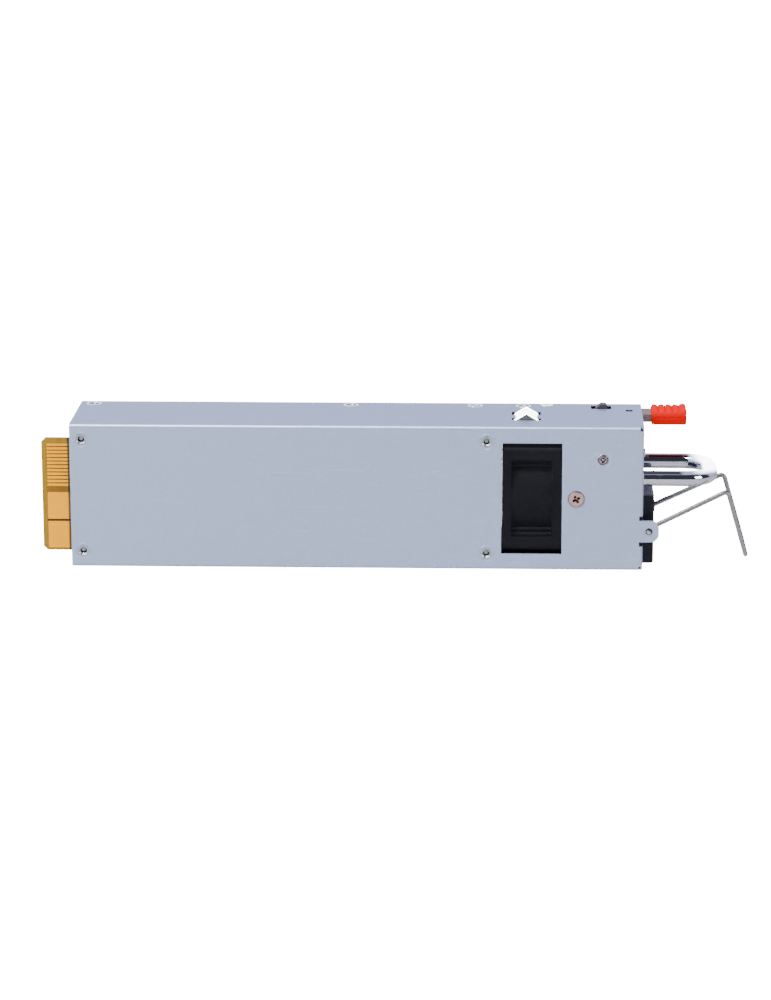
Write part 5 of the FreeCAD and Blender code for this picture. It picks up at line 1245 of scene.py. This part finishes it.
def make_fan_seal():
    """Foam strip that closes the slit between the fan's rear face and the window."""
    low, high = box_mm("fan_frame")
    wall = NEAR + SHEET_GAUGE
    ends = ((low.z - 1.2, 0.12), (low.z - 1.0, 0.0), (high.z + 1.0, 0.0), (high.z + 1.2, 0.12))
    bm = bmesh.new()
    rings = []
    for z, squeeze in ends:
        left, right = low.x - 0.75 + squeeze, low.x - 0.02
        corners = rectangle(left, right, wall + squeeze, wall + 1.4 - squeeze, z)
        rings.append(add_points(bm, Matrix(), corners))
    ribbon(bm, rings)
    finish_piece("fan_edge_seal", bm, "case", "black_plastic")


FAN_FLANGE, BARREL_RADIUS = 3.6, 18.95
RIBS = ((40.9, 2.0), (39.2, 2.9), (14.9, 2.9), (13.2, 2.0))  # height, depth below the frame
RIB_HALF = 0.75


def make_fan_ribs():
    """Stiffening ribs across the fan's barrel, beside its mounting posts."""
    low, high = box_mm("fan_frame")
    axis = (low.z + high.z) / 2
    bm = bmesh.new()
    for middle, depth in RIBS:
        rings = []
        crest = low.y + depth
        root = -math.sqrt(BARREL_RADIUS**2 - (abs(middle - axis) - RIB_HALF) ** 2)
        for x in (low.x + FAN_FLANGE, high.x - FAN_FLANGE):
            corners = [
                (x, root, middle - RIB_HALF), (x, crest + 0.3, middle - 0.6),
                (x, crest, middle - 0.3), (x, crest, middle + 0.3),
                (x, crest + 0.3, middle + 0.6), (x, root, middle + RIB_HALF),
            ]
            rings.append(add_points(bm, Matrix(), corners))
        ribbon(bm, rings)
    finish_piece("fan_barrel_ribs", bm, "case", "black_plastic", "fan_plastic")


def plate(bm, low, high, bevel=0.06):
    """A thin rectangular tab with softened edges."""
    rings = []
    for z, inset in ((low[2], bevel), (low[2] + bevel, 0), (high[2] - bevel, 0), (high[2], bevel)):
        corners = rectangle(low[0] + inset, high[0] - inset, low[1] + inset, high[1] - inset, z)
        rings.append(add_points(bm, Matrix(), corners))
    ribbon(bm, rings)


def make_pivot_bushes():
    """Black bushes that line the ears' holes round the bail's ends."""
    inner, outer, foot = 0.97, 1.28, -0.7
    profile = [
        (inner, foot), (inner, -0.2), (1.02, -0.12), (1.24, -0.12), (outer, -0.16),
        (outer, foot), (inner, foot),
    ]
    bm = bmesh.new()
    for outward, wall in (("-y", NEAR), ("+y", FAR)):
        lathe(bm, seat((PIVOT_X, wall, PIVOT_Z), outward), profile)
    finish_piece("pivot_bushes", bm, "case", "black_plastic")


CLIP_ROOF_HALF, CLIP_WINDOW_HALF = 4.3, 5.4


def make_clip_stops():
    """Two tabs left in the top wall's opening, beside the grounding clip's roof."""
    low, high = box_mm("ground_clip")
    middle = (low.x + high.x) / 2
    reaches = (CLIP_ROOF_HALF + 0.12, CLIP_WINDOW_HALF + 0.3)
    bm = bmesh.new()
    for side in (-1, 1):
        ends = sorted(middle + side * reach for reach in reaches)
        plate(bm, (ends[0], -5.0, TOP - 0.78), (ends[1], 0.25, TOP - 0.02))
    finish_piece("clip_stops", bm, "case", "zinc_sheet")


# where a ring starts and ends outside the rim of each kind of insert
INSERT_RINGS = (("ground_stud", (1.0, 1.3)), ("board_standoffs", (0.55, 0.75)))
SWAGE_MARKS = 9


def make_press_rings():
    """Shallow rings pressed into the near wall round its inserts, and the stud's stake marks."""
    bm = bmesh.new()
    for name, widths in INSERT_RINGS:
        for low, high in solids_of(name):
            matrix, radius = near_seat(low, high)
            inner, outer = (radius + width for width in widths)
            profile = [
                (inner, -0.05), (inner + 0.05, 0.05), ((inner + outer) / 2, 0.09),
                (outer - 0.05, 0.05), (outer, -0.05), (inner, -0.05),
            ]
            lathe(bm, matrix, profile)
    low, high = solids_of("ground_stud")[0]
    middle = (low + high) / 2
    reach = (high.x - low.x) / 2 + 1.75
    for index in range(SWAGE_MARKS):
        angle = math.tau * (index + 0.25) / SWAGE_MARKS + 0.12 * (index * 5 % 3)
        half = 0.17 + 0.06 * (index * 7 % 3)
        x, z = middle.x + reach * math.cos(angle), middle.z + reach * math.sin(angle)
        plate(bm, (x - half, NEAR - 0.11, z - half * 0.8), (x + half, NEAR + 0.05, z + half * 0.8))
    finish_piece("press_rings", bm, "case", "zinc_sheet")


make_grip()
make_fan_seal()
make_fan_ribs()
make_press_rings()
make_clip_stops()
make_pivot_bushes()
make_cover_screws()
make_bracket_screw()
make_ground_stud()
make_standoffs()
make_board_screws()
make_latch_rivet()


# ---------------------------------------------------------------- floor, lights and camera

BAIL_DROP = 0.028  # how far the bail can swing below the case, in metres
FLOOR_HALF = 4.0
FLOOR_GLOW = 17.0
BACKDROP_GLOW = 18.0
DARK_SIDE, BRIGHT_SIDE = 0.05, 0.84
LAMP_AIM = (0.0, 0.0, 0.03)
LAMPS = (
    ("key_softbox", (-1.5, -1.5, 0.9), (0.9, 1.0), 46.0),
    ("fill_softbox", (1.6, -1.4, 0.8), (0.9, 1.0), 28.0),
    ("top_softbox", (-0.4, -0.5, 1.25), (0.9, 0.3), 22.0),
)
CAMERA_PLACE = (0.05844, -1.25853, 0.33631)
CAMERA_TURN = (75.961, 0.132, 2.164)
LENS, SENSOR = 124.15, 36.0


def seen_apart(tree, unseen, seen):
    """One shader for what the camera sees directly and another for all other light."""
    mix = add(tree, "ShaderNodeMixShader", Fac=viewer(tree))
    feed(tree, mix.inputs[1], unseen.outputs[0])
    feed(tree, mix.inputs[2], seen.outputs[0])
    return mix.outputs[0]


def make_floor_paper():
    """Pale paper that looks white to the camera."""
    material = bpy.data.materials.new("floor_paper")
    material.use_nodes = True
    tree = material.node_tree
    tree.nodes.clear()
    place = tree.nodes.new("ShaderNodeTexCoord").outputs["Object"]
    paper = remap(tree, noise(tree, place, 40.0), 0.3, 0.7, 0.46, 0.48)
    diffuse = add(tree, "ShaderNodeBsdfDiffuse", Color=grey(tree, paper))
    glow = add(tree, "ShaderNodeEmission", Strength=FLOOR_GLOW)
    both = add(tree, "ShaderNodeAddShader")
    feed(tree, both.inputs[0], diffuse.outputs[0])
    feed(tree, both.inputs[1], glow.outputs[0])
    out = tree.nodes.new("ShaderNodeOutputMaterial")
    feed(tree, out.inputs["Surface"], seen_apart(tree, diffuse, both))
    return material


def make_floor():
    """Floor just below the lowest point of the bail's swing."""
    bm = bmesh.new()
    corners = rectangle(-FLOOR_HALF, FLOOR_HALF, -FLOOR_HALF, FLOOR_HALF, 0)
    bm.faces.new(add_points(bm, Matrix(), corners))
    mesh = bpy.data.meshes.new("floor")
    bm.to_mesh(mesh)
    bm.free()
    floor = link_object("floor", mesh)
    floor.location.z = CAD_BOX[0][2] - BAIL_DROP
    mesh.materials.append(make_floor_paper())


def make_world():
    """White studio: bright above and behind, with a dark side behind the viewer."""
    world = bpy.data.worlds.new("studio")
    bpy.context.scene.world = world
    world.use_nodes = True
    tree = world.node_tree
    tree.nodes.clear()
    heading = parts_of(tree, tree.nodes.new("ShaderNodeTexCoord").outputs["Generated"])
    behind = remap(tree, heading["Y"], -0.05, 0.2, smooth=True)
    above = remap(tree, heading["Z"], 0.9, 0.98, smooth=True)
    level = between(tree, sums(tree, "MAXIMUM", behind, above), DARK_SIDE, BRIGHT_SIDE)
    ambient = add(tree, "ShaderNodeBackground", Color=(0.80, 0.83, 1.12), Strength=level)
    backdrop = add(tree, "ShaderNodeBackground", Color=(1.0, 1.0, 1.0), Strength=BACKDROP_GLOW)
    out = tree.nodes.new("ShaderNodeOutputWorld")
    feed(tree, out.inputs["Surface"], seen_apart(tree, ambient, backdrop))


def make_lights():
    """Rectangular softboxes, each turned to the same point."""
    for name, place, size, power in LAMPS:
        light = bpy.data.lights.new(name, "AREA")
        light.shape = "RECTANGLE"
        light.size, light.size_y = size
        light.energy = power
        lamp = link_object(name, light)
        lamp.location = place
        direction = Vector(LAMP_AIM) - Vector(place)
        lamp.rotation_euler = direction.to_track_quat("-Z", "Y").to_euler()


def make_camera():
    """Camera in front of the near side, looking slightly down."""
    lens = bpy.data.cameras.new("camera")
    lens.sensor_width = SENSOR
    lens.lens = LENS
    camera = link_object("camera", lens)
    camera.location = CAMERA_PLACE
    camera.rotation_euler = [math.radians(angle) for angle in CAMERA_TURN]
    bpy.context.scene.camera = camera


make_floor()
make_world()
make_lights()
make_camera()
